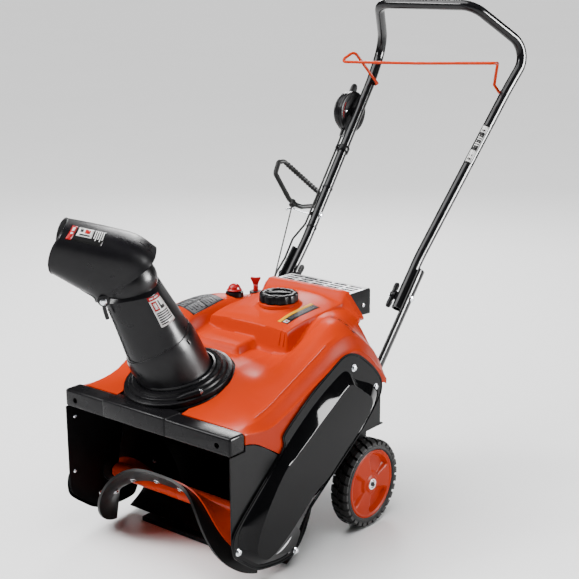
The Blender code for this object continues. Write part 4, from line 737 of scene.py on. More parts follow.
AUGER_Y, AUGER_Z = -0.178, 0.122
PADDLE_MID = radians(44)
PADDLE_WRAP = radians(134)


def flight(s, r, turn):
    """A point of an auger blade, s along the shaft and r from it, relative to the shaft."""
    a = PADDLE_MID - PADDLE_WRAP * (abs(s) / 0.22) ** 3.17 + turn
    return Vector((s, -r * cos(a), r * sin(a)))


def flight_normal(s, r, turn):
    e = 1e-4
    a = flight(s + e, r, turn) - flight(s - e, r, turn)
    b = flight(s, r + e, turn) - flight(s, r - e, turn)
    return a.cross(b).normalized()


def blade(name, inner, outer, turn, offset, thickness, rows=90, cols=8, end=0.2148):
    rings = []
    for i in range(rows + 1):
        s = end * sin(pi / 2 * (2 * i / rows - 1))
        front = []
        back = []
        for k in range(cols + 1):
            r = inner(s) + (outer(s) - inner(s)) * k / cols
            p = flight(s, r, turn)
            n = flight_normal(s, r, turn)
            front.append(at(0, AUGER_Y, AUGER_Z) + p + n * (offset + thickness / 2))
            back.append(at(0, AUGER_Y, AUGER_Z) + p + n * (offset - thickness / 2))
        rings.append(front + back[::-1])
    verts, faces = skin(rings, caps=True)
    return mesh_piece(name, verts, faces, 40)


def auger_parts():
    for name, turn in (("auger_paddle_front", 0.0), ("auger_paddle_rear", pi)):
        obj = blade(name + "_skin", lambda s: 0.056 - 0.026 * (abs(s) / 0.215) ** 2, lambda s: 0.1108, turn,
            0.0064, 0.006)
        fit(obj, "auger", "paddle_rubber", name)
        for k, s in enumerate((-0.165, -0.105, -0.035, 0.035, 0.105, 0.165)):
            r = 0.068 - 0.01 * (abs(s) / 0.215) ** 2
            n = flight_normal(s, r, turn)
            p = at(0, AUGER_Y, AUGER_Z) + flight(s, r, turn)
            hex_bolt(f"{name}_bolt_{k}", p + n * 0.0094, n, "auger", 0.005, 0.003, 0.0072)
    hub = lathe("auger_hub", [(0.0103, -0.216), (0.016, -0.216), (0.0165, -0.2155), (0.0165, 0.2155),
        (0.016, 0.216), (0.0103, 0.216), (0.0103, -0.216)], along(at(0, AUGER_Y, AUGER_Z), (1, 0, 0)), 48)
    fit(hub, "auger", "orange_steel", "auger_core")
    for k, turn in enumerate((0.0, pi)):
        wing = blade(f"auger_wing_{k}", lambda s: 0.015, lambda s: 0.084 - 0.012 * (abs(s) / 0.215) ** 2,
            turn, 0.0, 0.003, cols=4, end=0.214)
        fit(wing, "auger", "orange_steel")
    shaft = [(0, -0.2445), (0.009, -0.2445), (0.01, -0.2435), (0.01, 0.2515), (0.009, 0.2525), (0, 0.2525)]
    fit(lathe("auger_shaft_skin", shaft, along(at(0, AUGER_Y, AUGER_Z), (1, 0, 0)), 40), "auger", "steel",
        "auger_shaft")


# ---------------------------------------------------------------- hood
COLS = (-0.2365, -0.215, -0.18, -0.14, -0.125, -0.06, 0.0, 0.065, 0.085, 0.118, 0.145, 0.18, 0.215, 0.2365)
ROWS = ((-0.255, 0.3185, 0.338, 0.3425, 0.343, 0.343, 0.343, 0.343, 0.343, 0.343, 0.343, 0.343, 0.343,
    0.343, 0.3425, 0.338), (-0.22, 0.3082, 0.336, 0.346, 0.349, 0.352, 0.352, 0.352, 0.352, 0.352, 0.352,
    0.352, 0.351, 0.348, 0.3435, 0.332), (-0.182, 0.2862, 0.339, 0.352, 0.358, 0.363, 0.364, 0.364, 0.364,
    0.364, 0.364, 0.364, 0.361, 0.356, 0.348, 0.33),
    (-0.15, 0.265, 0.345, 0.365, 0.371, 0.376, 0.377, 0.378, 0.378, 0.378, 0.377, 0.376, 0.373, 0.367,
    0.357, 0.337), (-0.1, 0.2365, 0.37, 0.396, 0.402, 0.402, 0.398, 0.396, 0.396, 0.396, 0.392, 0.389,
    0.388, 0.387, 0.378, 0.355), (-0.05, 0.227, 0.402, 0.432, 0.44, 0.43, 0.412, 0.404, 0.402, 0.4, 0.396,
    0.393, 0.402, 0.408, 0.399, 0.374), (0.0, 0.2265, 0.426, 0.459, 0.466, 0.452, 0.424, 0.408, 0.405, 0.4,
    0.398, 0.402, 0.424, 0.432, 0.42, 0.393), (0.046, 0.2265, 0.434, 0.467, 0.474, 0.46, 0.436, 0.415,
    0.408, 0.404, 0.406, 0.418, 0.446, 0.455, 0.441, 0.412),
    (0.1, 0.2265, 0.431, 0.465, 0.476, 0.468, 0.452, 0.435, 0.43, 0.432, 0.44, 0.448, 0.468, 0.473, 0.451,
    0.42), (0.145, 0.26, 0.412, 0.45, 0.47, 0.47, 0.462, 0.452, 0.45, 0.454, 0.46, 0.464, 0.47, 0.46, 0.436,
    0.402), (0.2, 0.32, 0.37, 0.41, 0.445, 0.462, 0.466, 0.462, 0.462, 0.464, 0.468, 0.462, 0.45, 0.422,
    0.394, 0.352), (0.24, 0.304, 0.322, 0.362, 0.407, 0.448, 0.462, 0.464, 0.464, 0.464, 0.468, 0.456,
    0.432, 0.384, 0.346, 0.312), (0.267, 0.3, 0.308, 0.34, 0.385, 0.44, 0.462, 0.466, 0.466, 0.466, 0.47,
    0.458, 0.42, 0.365, 0.325, 0.304),)
ROW_Y = [row[0] for row in ROWS]
BULGE_Y = (0.036, 0.06, 0.1, 0.145, 0.2, 0.24, 0.27)
BULGE_Z = (0.455, 0.4635, 0.4735, 0.4795, 0.4825, 0.484, 0.485)
BULGE_DROP = (0.005, 0.0075, 0.011, 0.014, 0.013, 0.011, 0.01)
CREASE_X = 0.2075
BULGE_LEFT = -0.121
BULGE_RIGHT = 0.1
BULGE_FRONT = 0.04


def bulge_z(x, y):
    i = locate(BULGE_Y, y)
    return cubic(BULGE_Z, i) - cubic(BULGE_DROP, i) * ((x + 0.01) / 0.11) ** 2


def hood_z(x, y):
    i = locate(COLS, x)
    j = locate(ROW_Y, y)
    z = cubic([cubic(row[2:], i) for row in ROWS], j)
    # long crease over the left fender
    z += 0.0026 * exp(-((x - CREASE_X) / 0.0042) ** 2) * step(-0.205, -0.18, y) * (1 - step(0.03, 0.09, y))
    # tank bulge with steep front and sides, and two low ribs down its front corner
    out_x = max(BULGE_LEFT - x, x - BULGE_RIGHT, 0.0)
    out_y = max(BULGE_FRONT - y, 0.0)
    wall = bulge_z(x, y) - 4.2 * sqrt(out_x * out_x + out_y * out_y)
    z = soft_max(z, wall, 0.0032)
    # ledge between the bulge and the well of the chute
    ledge = 0.42 + 0.1 * (y + 0.02) - 3.0 * max(0.0, x - 0.015, -0.115 - x) - 3.0 * max(0.0, -0.028 - y)
    z = soft_max(z, ledge, 0.004)
    # ridge along the back
    back = 0.4955 - 0.3 * max(0.0, x - 0.085) - 0.9 * max(0.0, x - 0.098) - 1.2 * max(0.0, -0.128 - x)
    ridge = back - 1.3 * max(0.0, 0.252 - y)
    z = soft_max(z, ridge, 0.0024)
    # low boss round the filler
    d = sqrt(x * x + (y - 0.133) ** 2)
    z += 0.004 * (1 - step(0.0465, 0.051, d))
    return z


def hood_low(y):
    return cubic([row[1] for row in ROWS], locate(ROW_Y, y))


def spaced(low, high, coarse, spots, fine, reach):
    """Places from low to high, closer together near the spots."""
    out = [low]
    while out[-1] < high - 1e-9:
        near = min(abs(out[-1] - s) for s in spots)
        gap = fine if near < reach else coarse
        out.append(min(high, out[-1] + gap))
    return out


def hood_parts():
    xs = spaced(-0.2365, 0.2365, 0.005, (-0.2365, -0.126, 0.104, 0.2365, 0.2075, 0.058, -0.048, 0.048),
        0.0016, 0.009)
    ys = spaced(-0.255, 0.2665, 0.005, (0.035, 0.25, 0.181, 0.085, -0.06), 0.0016, 0.009)
    rings = []
    for y in ys:
        low = hood_low(y)
        edge = hood_z(-0.2365, y)
        ring = [at(-0.2365, y, low + (edge - low) * k / 3) for k in range(3)]
        ring += [at(x, y, hood_z(x, y)) for x in xs]
        edge = hood_z(0.2365, y)
        ring += [at(0.2365, y, low + (edge - low) * (2 - k) / 3) for k in range(3)]
        rings.append(ring)
    verts, faces = skin(rings, closed=False)
    obj = mesh_piece("hood_skin", verts, faces, 55)
    face_up(obj)
    shell(obj, 0.003, angle=55)
    cuts = [lathe("well", drum(0.1222, -0.12, 0.1), RING, 96)]
    cuts += [block("notch", (-0.122, -0.262, 0.3), (0.066, -0.2322, 0.42), 0)]
    cuts += [lathe("neck", drum(0.031, -0.06, 0.06), along(at(0, 0.133, 0.47), (0, 0, 1)), 48)]
    for side in (-1, 1):
        low, high = sorted((side * 0.1405, side * 0.3))
        cuts.append(block("rear", (low, 0.24, 0.2), (high, 0.4, 0.6), 0))
        low, high = sorted((side * 0.19, side * 0.3))
        cuts.append(block("tail", (low, 0.222, 0.2), (high, 0.3, 0.6), 0))
        turn = Matrix(((0, 0, 1, 0), (1, 0, 0, 0), (0, 1, 0, 0), (0, 0, 0, 1)))
        outline = ((-0.085, 0.2), (-0.085, 0.282), (0.03, 0.37), (0.125, 0.37), (0.125, 0.2))
        low = min(side * 0.225, side * 0.26)
        cuts.append(slab("window", outline, Matrix.Translation(at(low, 0, 0)) @ turn, 0.035, 0))
    for cutter in cuts:
        combine(obj, cutter, angle=55, solver="FAST")
    fit(obj, "frame", "orange_plastic", "hood")

    def top(x, y, lift):
        e = 0.002
        slope_x = hood_z(x - e, y) - hood_z(x + e, y)
        slope_y = hood_z(x, y - e) - hood_z(x, y + e)
        return at(x, y, hood_z(x, y)) + Vector((slope_x, slope_y, 2 * e)).normalized() * (0.0003 + lift)

    # control panel plate on the right fender, with generic boxes and bars
    parts = [(-0.203, -0.142, 0.004, 0.106, BLACK, 0.0)]
    parts += [(-0.2, -0.174, 0.008, 0.051, GREY, 0.0002), (-0.171, -0.145, 0.008, 0.051, GREY, 0.0002)]
    parts += [(-0.2, -0.174, 0.056, 0.102, GREY, 0.0002), (-0.171, -0.145, 0.056, 0.102, GREY, 0.0002)]
    for bx, by in ((-0.198, 0.012), (-0.169, 0.012), (-0.198, 0.061), (-0.169, 0.061)):
        for k in range(4):
            y = by + 0.009 * k
            parts.append((bx, bx + (0.021 if k % 2 else 0.016), y, y + 0.003, BLACK, 0.0004))
    patch("control_plate", top, parts, "frame", 0.005)

    # warning strip beside the cap, along the bulge
    parts = [(0.0555, 0.08, 0.066, 0.18, BLACK, 0.0), (0.0535, 0.0625, 0.064, 0.182, YELLOW, 0.0002)]
    parts += [(0.0655, 0.0765, 0.069, 0.08, WHITE, 0.0003), (0.068, 0.074, 0.0718, 0.0772, RED, 0.0005)]
    parts += [(0.0655, 0.0668, 0.086, 0.17, GREY, 0.0003), (0.0688, 0.0701, 0.086, 0.16, GREY, 0.0003),
        (0.0721, 0.0734, 0.086, 0.17, GREY, 0.0003)]
    patch("cap_strip", top, parts, "frame", 0.004)
    # raised plate on the left fender
    parts = [(0.133, 0.214, 0.13, 0.1302, BLACK, 0.0), (0.133, 0.214, 0.1498, 0.15, BLACK, 0.0),
        (0.133, 0.1336, 0.13, 0.15, BLACK, 0.0)]
    parts += [(0.134 + 0.0095 * k, 0.14 + 0.0095 * k, 0.135, 0.1352 + 0.01 * (k % 2), BLACK, 0.0002)
        for k in range(8)]
    patch("fender_plate", top, parts, "frame", 0.004)
    for k, x in enumerate((0.083, 0.0945)):
        brow = bulge_z(x, 0.04)
        line = [(x + 0.0006, 0.047, bulge_z(x, 0.047) + 0.0002), (x, 0.0398, brow - 0.0012),
            (x, 0.032, brow - 0.03)]
        rib = sweep(f"bulge_rib_{k}", moved(resample(rounded(line, 0.004, 4), 0.004)), 0.0011, 10)
        fit(rib, "frame", "orange_plastic", look=PRINT[ORANGE])
    # fine bead along the crease of the left fender
    ys = [-0.195 + 0.01 * k for k in range(24)]
    line = [at(CREASE_X, y, hood_z(CREASE_X, y) + 0.0002) for y in ys]
    bead = sweep("fender_bead", line, 0.001, 8)
    fit(bead, "frame", "orange_plastic", look=PRINT[ORANGE])


def top_controls():
    def scallop(a, r):
        if r < 0.036:
            return 1.0
        return 1.0 - 0.075 * (0.5 + 0.5 * cos(9 * a)) ** 5

    cap = [(0, 0.0002), (0.0425, 0.0002), (0.0445, 0.0015), (0.0445, 0.014), (0.0435, 0.0166),
        (0.0405, 0.0188), (0.037, 0.0196), (0.031, 0.0196), (0.0296, 0.0188), (0.0285, 0.016),
        (0.027, 0.0156), (0, 0.0156)]
    place = along(at(0, 0.133, 0.486), (0, 0, 1))
    fit(lathe("cap_skin", cap, place, 168, scallop, 30), "cap", "black_plastic", "fuel_cap")
    bar = block("cap_rib", (-0.029, -0.0042, 0.015), (0.029, 0.0042, 0.0194), 0.0014, 3,
                place=place @ Matrix.Rotation(0.62, 4, "Z"))
    fit(bar, "cap", "black_plastic")
    collar = [(0.0275, -0.01), (0.0455, -0.01), (0.0455, -0.003), (0.044, -0.0012), (0.0275, -0.0012),
        (0.0275, -0.01)]
    fit(lathe("filler_collar", collar, place, 64), "frame", "orange_plastic")
    base = along(at(-0.15, 0.152, 0.4802), (0, 0, 1))
    dome = [(0, 0.0002), (0.017, 0.0002), (0.018, 0.001), (0.018, 0.0024), (0.0168, 0.0032)]
    dome += [(0.0152 * cos(radians(7.5 * i)), 0.0034 + 0.0134 * sin(radians(7.5 * i)))
        for i in range(1, 12)] + [(0, 0.0168)]
    fit(lathe("primer_skin", dome, base, 48), "primer", "red_rubber", "primer_bulb")
    socket = [(0, -0.013), (0.0215, -0.013), (0.0208, -0.0036), (0.0195, -0.0028), (0, -0.0028)]
    fit(lathe("primer_socket", socket, base, 48), "frame", "black_plastic")
    place = along(at(-0.15, 0.228, 0.464), (0, 0, 1))
    stem = [(0, 0.0), (0.006, 0.0), (0.006, 0.0115), (0.005, 0.0135), (0.0035, 0.016), (0, 0.016)]
    fit(lathe("key_stem", stem, place, 32), "key", "red_plastic", "ignition_key")
    outline = [(-0.0048, 0.011), (0.0048, 0.011), (0.0075, 0.02), (0.0126, 0.0305), (0.011, 0.0336),
        (0.0, 0.0322), (-0.011, 0.0336), (-0.0126, 0.0305), (-0.0075, 0.02)]
    upright = place @ Matrix.Rotation(radians(35), 4, "Z") @ Matrix.Rotation(pi / 2, 4, "X")
    upright = upright @ Matrix.Translation((0, 0, -0.0028))
    fit(slab("key_bow", outline, upright, 0.0056, 0.0012, 2), "key", "red_plastic")
    switch = [(0, -0.011), (0.015, -0.011), (0.015, -0.0016), (0.014, -0.0006), (0, -0.0006)]
    fit(lathe("key_switch", switch, place, 40), "frame", "black_plastic")


def guard_parts():
    a, b = -0.13, 0.101
    section = [(0.269, 0.43), (0.269, 0.4872), (0.27, 0.488), (0.3385, 0.488), (0.3425, 0.487),
        (0.345, 0.4845), (0.346, 0.4805), (0.346, 0.426)]
    outer = [at(x, y, z) for x, pts in ((a, section), (b, section)) for y, z in pts]
    n = len(section)
    faces = [(j, j + 1, n + j + 1, n + j) for j in range(1, n - 1)]
    faces += [tuple(range(n)), tuple(range(n, 2 * n))]
    obj = mesh_piece("guard_skin", outer, faces, 40)
    face_up(obj)
    shell(obj, 0.0014, angle=40)
    for row in range(4):
        for k in range(5):
            x = -0.103 + 0.044 * k
            y = 0.28 + 0.0155 * row
            outline = [(x - 0.0185, y - 0.0042), (x + 0.0185, y - 0.0042), (x + 0.0185, y + 0.0042),
                (x - 0.0185, y + 0.0042)]
            slot = slab("slot", outline, Matrix.Translation(at(0, 0, 0.48)), 0.012, 0)
            combine(obj, slot, angle=40)
    fit(obj, "frame", "guard_steel", "muffler_guard")
    # painted light and shade by facing: the upward faces keep the pale guard steel, while the walls, slot
    # sides and underside that do not face up are painted black steel
    obj.data.materials.append(MATS["black_steel"])
    for face in obj.data.polygons:
        if face.normal.z < 0.5:
            face.material_index = 1
    pan_screw("guard_screw", at(0.1012, 0.318, 0.452), (1, 0, 0), "frame", 0.0056)
    pan_screw("guard_screw_far", at(-0.1302, 0.318, 0.452), (-1, 0, 0), "frame", 0.0056)
    hole = lathe("guard_hole", [(0.0046, 0.0), (0.0034, 0.0006), (0.003, 0.0002), (0, 0.0002)],
        along(at(0.101, 0.284, 0.444), (1, 0, 0)), 24)
    fit(hole, "frame", "zinc")


# ---------------------------------------------------------------- side covers
COVER = (
    # flange, foot of the raised panel and its top, each as y and z
    (-0.147, 0.276, -0.14, 0.272, -0.162, 0.24), (-0.144, 0.305, -0.115, 0.295, -0.13, 0.259),
    (-0.0914, 0.3442, -0.07, 0.326, -0.085, 0.285), (-0.05, 0.37, -0.035, 0.347, -0.05, 0.307),
    (-0.0085, 0.3915, 0.0, 0.365, -0.01, 0.33), (0.0516, 0.4197, 0.048, 0.385, 0.038, 0.358),
    (0.0869, 0.4201, 0.072, 0.382, 0.058, 0.362), (0.1233, 0.4042, 0.1, 0.358, 0.082, 0.348),
    (0.1703, 0.3665, 0.148, 0.336, 0.118, 0.323), (0.197, 0.332, 0.174, 0.318, 0.133, 0.311),
    (0.194, 0.296, 0.18, 0.294, 0.133, 0.29), (0.139, 0.242, 0.13, 0.244, 0.1, 0.258),
    (0.07, 0.196, 0.062, 0.199, 0.038, 0.217), (0.005, 0.153, -0.002, 0.157, -0.018, 0.179),
    (-0.06, 0.108, -0.064, 0.116, -0.065, 0.156), (-0.09, 0.06, -0.093, 0.072, -0.125, 0.106),
    (-0.101, 0.04, -0.106, 0.052, -0.175, 0.072), (-0.115, 0.03, -0.125, 0.042, -0.196, 0.063),
    (-0.16, 0.0285, -0.16, 0.04, -0.205, 0.061), (-0.224, 0.04, -0.215, 0.05, -0.215, 0.063),
    (-0.264, 0.066, -0.25, 0.072, -0.23, 0.072), (-0.298, 0.096, -0.282, 0.102, -0.242, 0.09),
    (-0.303, 0.127, -0.287, 0.13, -0.24, 0.11), (-0.2908, 0.1539, -0.274, 0.156, -0.227, 0.145),
    (-0.225, 0.211, -0.213, 0.209, -0.195, 0.198),
)
FOLD_AT = 13.4
PER = 8


def smooth_loop(k):
    """One closed loop of the cover, with the same number of points for every k."""
    n = len(COVER)
    out = []
    for i in range(n):
        p = [COVER[(i + j - 1) % n][2 * k:2 * k + 2] for j in range(4)]
        for s in range(PER):
            f = s / PER
            tight = 0.5 if k else 0.42
            pair = []
            for c in (0, 1):
                m1 = tight * (p[2][c] - p[0][c])
                m2 = tight * (p[3][c] - p[1][c])
                a = 2 * f ** 3 - 3 * f ** 2 + 1
                b = f ** 3 - 2 * f ** 2 + f
                d = f ** 3 - f ** 2
                pair.append(a * p[1][c] + b * m1 + (1 - a) * p[2][c] + d * m2)
            out.append(tuple(pair))
    return out


def inset(outline, distance):
    """An outline moved inward, each point across the line between its second neighbours."""
    if not distance:
        return outline
    n = len(outline)
    out = []
    for i in range(n):
        a = Vector(outline[i - 2])
        b = Vector(outline[i])
        c = Vector(outline[(i + 2) % n])
        d = (c - a).normalized()
        out.append(tuple(b + Vector((d.y, -d.x)) * distance))
    return out


def cover_parts():
    flange, foot, top = [smooth_loop(k) for k in range(3)]
    n = len(top)
    split = int(FOLD_AT * PER)
    a = Vector(top[0])
    b = Vector(top[split])
    fold = Vector((-(b - a).y, (b - a).x)).normalized()

    def top_x(p):
        below = max(0.0, -(Vector(p) - a).dot(fold) * (1 if fold.y > 0 else -1))
        return 0.2618 - 0.052 * below

    levels = ((0.2394, flange, 0), (0.2406, flange, 0), (0.2412, flange, 0.0005), (0.2413, flange, 0.0026),
              (0.2428, flange, 0.0034), (0.2428, flange, 0.005), (0.2414, flange, 0.006),
              (0.2416, foot, -0.0006), (0.2424, foot, 0.0006))
    rim = ((0.0009, -0.001), (0.0001, 0.0006), (0.0, 0.0024))
    for name, side in (("left", 1), ("right", -1)):
        rings = [[(x, p) for p in inset(loop, by)] for x, loop, by in levels]
        rings += [[(top_x(p) - drop, p) for p in inset(top, by)] for drop, by in rim]
        verts, faces = skin([[at(side * x, y, z) for x, (y, z) in ring] for ring in rings])
        base = (len(rings) - 1) * n
        faces.append(tuple(base + i for i in range(split + 1)))
        faces.append(tuple(base + i for i in list(range(split, n)) + [0]))
        obj = mesh_piece(f"cover_{name}", verts, faces, 18)
        shell(obj, 0.0012, angle=18, even=False)
        fit(obj, "frame", "gloss_plastic", f"side_cover_{name}")
        for k, (y, z) in enumerate(((0.092, 0.386), (0.172, 0.322), (-0.286, 0.104), (-0.108, 0.038))):
            place = at(side * 0.2412, y, z)
            hex_bolt(f"cover_{name}_bolt_{k}", place, (side, 0, 0), "frame", 0.0056, 0.0036, 0.008)


# ---------------------------------------------------------------- wheels
WHEEL_Y, WHEEL_Z = 0.154, 0.1


def wheel_parts(name, side):
    hub = Matrix.Translation(at(0, WHEEL_Y, WHEEL_Z)) @ Matrix.Rotation(side * pi / 2, 4, "Y")
    body = f"wheel_{name}"
    w0, w1 = 0.206, 0.25
    carcass = [(0.0784, w0 + 0.003), (0.085, w0 + 0.0008), (0.0905, w0 + 0.003), (0.0935, w0 + 0.0075),
        (0.0945, w0 + 0.013), (0.0945, w1 - 0.013), (0.0935, w1 - 0.0075), (0.0905, w1 - 0.003),
        (0.085, w1 - 0.0008), (0.08, w1 - 0.0012), (0.0784, w1 - 0.003), (0.0784, w0 + 0.003)]
    obj = lathe(f"tyre_{name}_skin", carcass, hub, 120, angle=40)
    bm = bmesh.new()
    bm.from_mesh(obj.data)
    # two rows of slanted lugs with shoulders that run down the side wall
    count = 30
    mid = (w0 + w1) / 2
    half = 0.0068

    def corner_pairs(angle, half_width, stations):
        """Two vertices for each station, given as its place across, its radius and its extra turn."""
        made = []
        for x, r, extra in stations:
            for s in (-1, 1):
                a = angle + extra + s * half_width / 0.097
                made.append(bm.verts.new(hub @ Vector((r * cos(a), r * sin(a), x))))
        return made

    for row in range(2):
        for k in range(count):
            a = 2 * pi * (k + 0.5 * row) / count
            sgn = 1 if row else -1
            near, middle, far = mid + sgn * 0.0012, mid + sgn * 0.015, mid + sgn * 0.0215
            slant = 0.03 * sgn
            outside = ((near, 0.0998, -slant), (middle, 0.0998, slant * 0.6), (far, 0.0955, slant),
                       (far - sgn * 0.0006, 0.0885, slant * 1.1))
            inside = ((near, 0.093, -slant), (middle, 0.0925, slant * 0.6), (far - sgn * 0.007, 0.089, slant),
                      (far - sgn * 0.006, 0.086, slant * 1.1))
            corners = corner_pairs(a, half, outside)
            inner = corner_pairs(a, half + 0.0007, inside)
            for q in range(3):
                i = 2 * q
                bm.faces.new((corners[i], corners[i + 1], corners[i + 3], corners[i + 2]))
                bm.faces.new((corners[i], corners[i + 2], inner[i + 2], inner[i]))
                bm.faces.new((corners[i + 1], inner[i + 1], inner[i + 3], corners[i + 3]))
            bm.faces.new((corners[0], inner[0], inner[1], corners[1]))
            bm.faces.new((corners[6], corners[7], inner[7], inner[6]))
    bmesh.ops.recalc_face_normals(bm, faces=bm.faces)
    bm.to_mesh(obj.data)
    bm.free()
    obj.data.shade_smooth()
    obj.data.set_sharp_from_angle(angle=radians(30))
    fit(obj, body, "tyre_rubber", f"tyre_{name}")
    for k, r in enumerate((0.0822, 0.0868)):
        groove = [(r - 0.0006, w1 - 0.0015), (r - 0.0005, w1 - 0.0002), (r + 0.0005, w1 - 0.0002),
            (r + 0.0006, w1 - 0.0015)]
        fit(lathe(f"tyre_{name}_ring_{k}", groove, hub, 96), body, "tyre_rubber")
    # rim: one face with three pockets between broad spokes
    radial = [0.0086 + 0.0693 * i / 40 for i in range(41)]
    rings = []
    steps = 144
    for r in radial:
        ring = []
        for i in range(steps):
            a = 2 * pi * i / steps
            x = w1 - 0.0035
            x += 0.0018 * step(0.0715, 0.0735, r) - 0.001 * step(0.0768, 0.0778, r)
            x += 0.003 * (1 - step(0.017, 0.02, r))
            span = cos(3 * (a - radians(90)))
            width = 0.18 + 0.55 * step(0.026, 0.06, r)
            pocket = step(0.025, 0.031, r) * (1 - step(0.064, 0.0695, r))
            pocket *= 1 - step(-0.35 + width * 0.4, 0.1 + width * 0.4, span)
            x -= 0.01 * pocket * (0.55 + 0.45 * step(0.03, 0.06, r))
            ring.append(hub @ Vector((r * cos(a), r * sin(a), x)))
        rings.append(ring)
    back = [(0.0779, w0 + 0.004), (0.072, w0 + 0.004), (0.07, 0.226), (0.019, 0.226), (0.019, w0 + 0.002),
        (0.0086, w0 + 0.002), (0.0086, w1 - 0.001)]
    turns = [2 * pi * i / steps for i in range(steps)]
    for r, x in back:
        rings.append([hub @ Vector((r * cos(a), r * sin(a), x)) for a in turns])
    verts, faces = skin(rings + [rings[0]])
    obj = mesh_piece(f"rim_{name}_skin", verts, faces, 50)
    fit(obj, body, "orange_plastic", f"rim_{name}")
    cup = [(0.0082, w1 - 0.004), (0.0128, w1 - 0.004), (0.0128, w1 + 0.0), (0.012, w1 + 0.0008),
        (0.0095, w1 + 0.0008), (0.0082, w1 - 0.001)]
    fit(lathe(f"hub_cup_{name}", cup, hub, 48), body, "zinc")


def axle_parts():
    for side in (-1, 1):
        hub = Matrix.Translation(at(0, WHEEL_Y, WHEEL_Z)) @ Matrix.Rotation(side * pi / 2, 4, "Y")
        end = [(0, 0.2515), (0.0052, 0.2515), (0.0052, 0.25), (0.004, 0.249), (0, 0.249)]
        fit(lathe(f"axle_end_{side}", end, hub, 32), "frame", "zinc", look=MATS["black_steel"])
    rod = [(0, -0.2495), (0.0066, -0.2495), (0.008, -0.248), (0.008, 0.248), (0.0066, 0.2495), (0, 0.2495)]
    fit(lathe("axle_skin", rod, along(at(0, WHEEL_Y, WHEEL_Z), (1, 0, 0)), 40), "frame", "zinc", "wheel_axle")


# ---------------------------------------------------------------- handle
JOINT = Vector((0.168, 0.378, 0.47))
SPREAD_FROM = 0.548
BAIL_AT = Vector((0.203, 0.763, 0.912))
KINK = Vector((0.219, 0.843, 1.008))
TOP = Vector((0.138, 0.705, 1.119))
TUBE_R = 0.0125


def on_tube(z, side=1):
    y = JOINT.y + (BAIL_AT.y - JOINT.y) * (z - JOINT.z) / (BAIL_AT.z - JOINT.z)
    x = JOINT.x + (BAIL_AT.x - JOINT.x) * max(0.0, z - SPREAD_FROM) / (BAIL_AT.z - SPREAD_FROM)
    return Vector((side * x, y, z))


def flip(p):
    return Vector((-p[0], p[1], p[2]))


LOWER_X = 0.1881
LOWER_FLAT = 0.56


def flatten(obj, side):
    """Flatten a lower handle tube across, as in the CAD."""
    middle = side * LOWER_X + ROOT.x
    for vert in obj.data.vertices:
        vert.co.x = middle + (vert.co.x - middle) * LOWER_FLAT


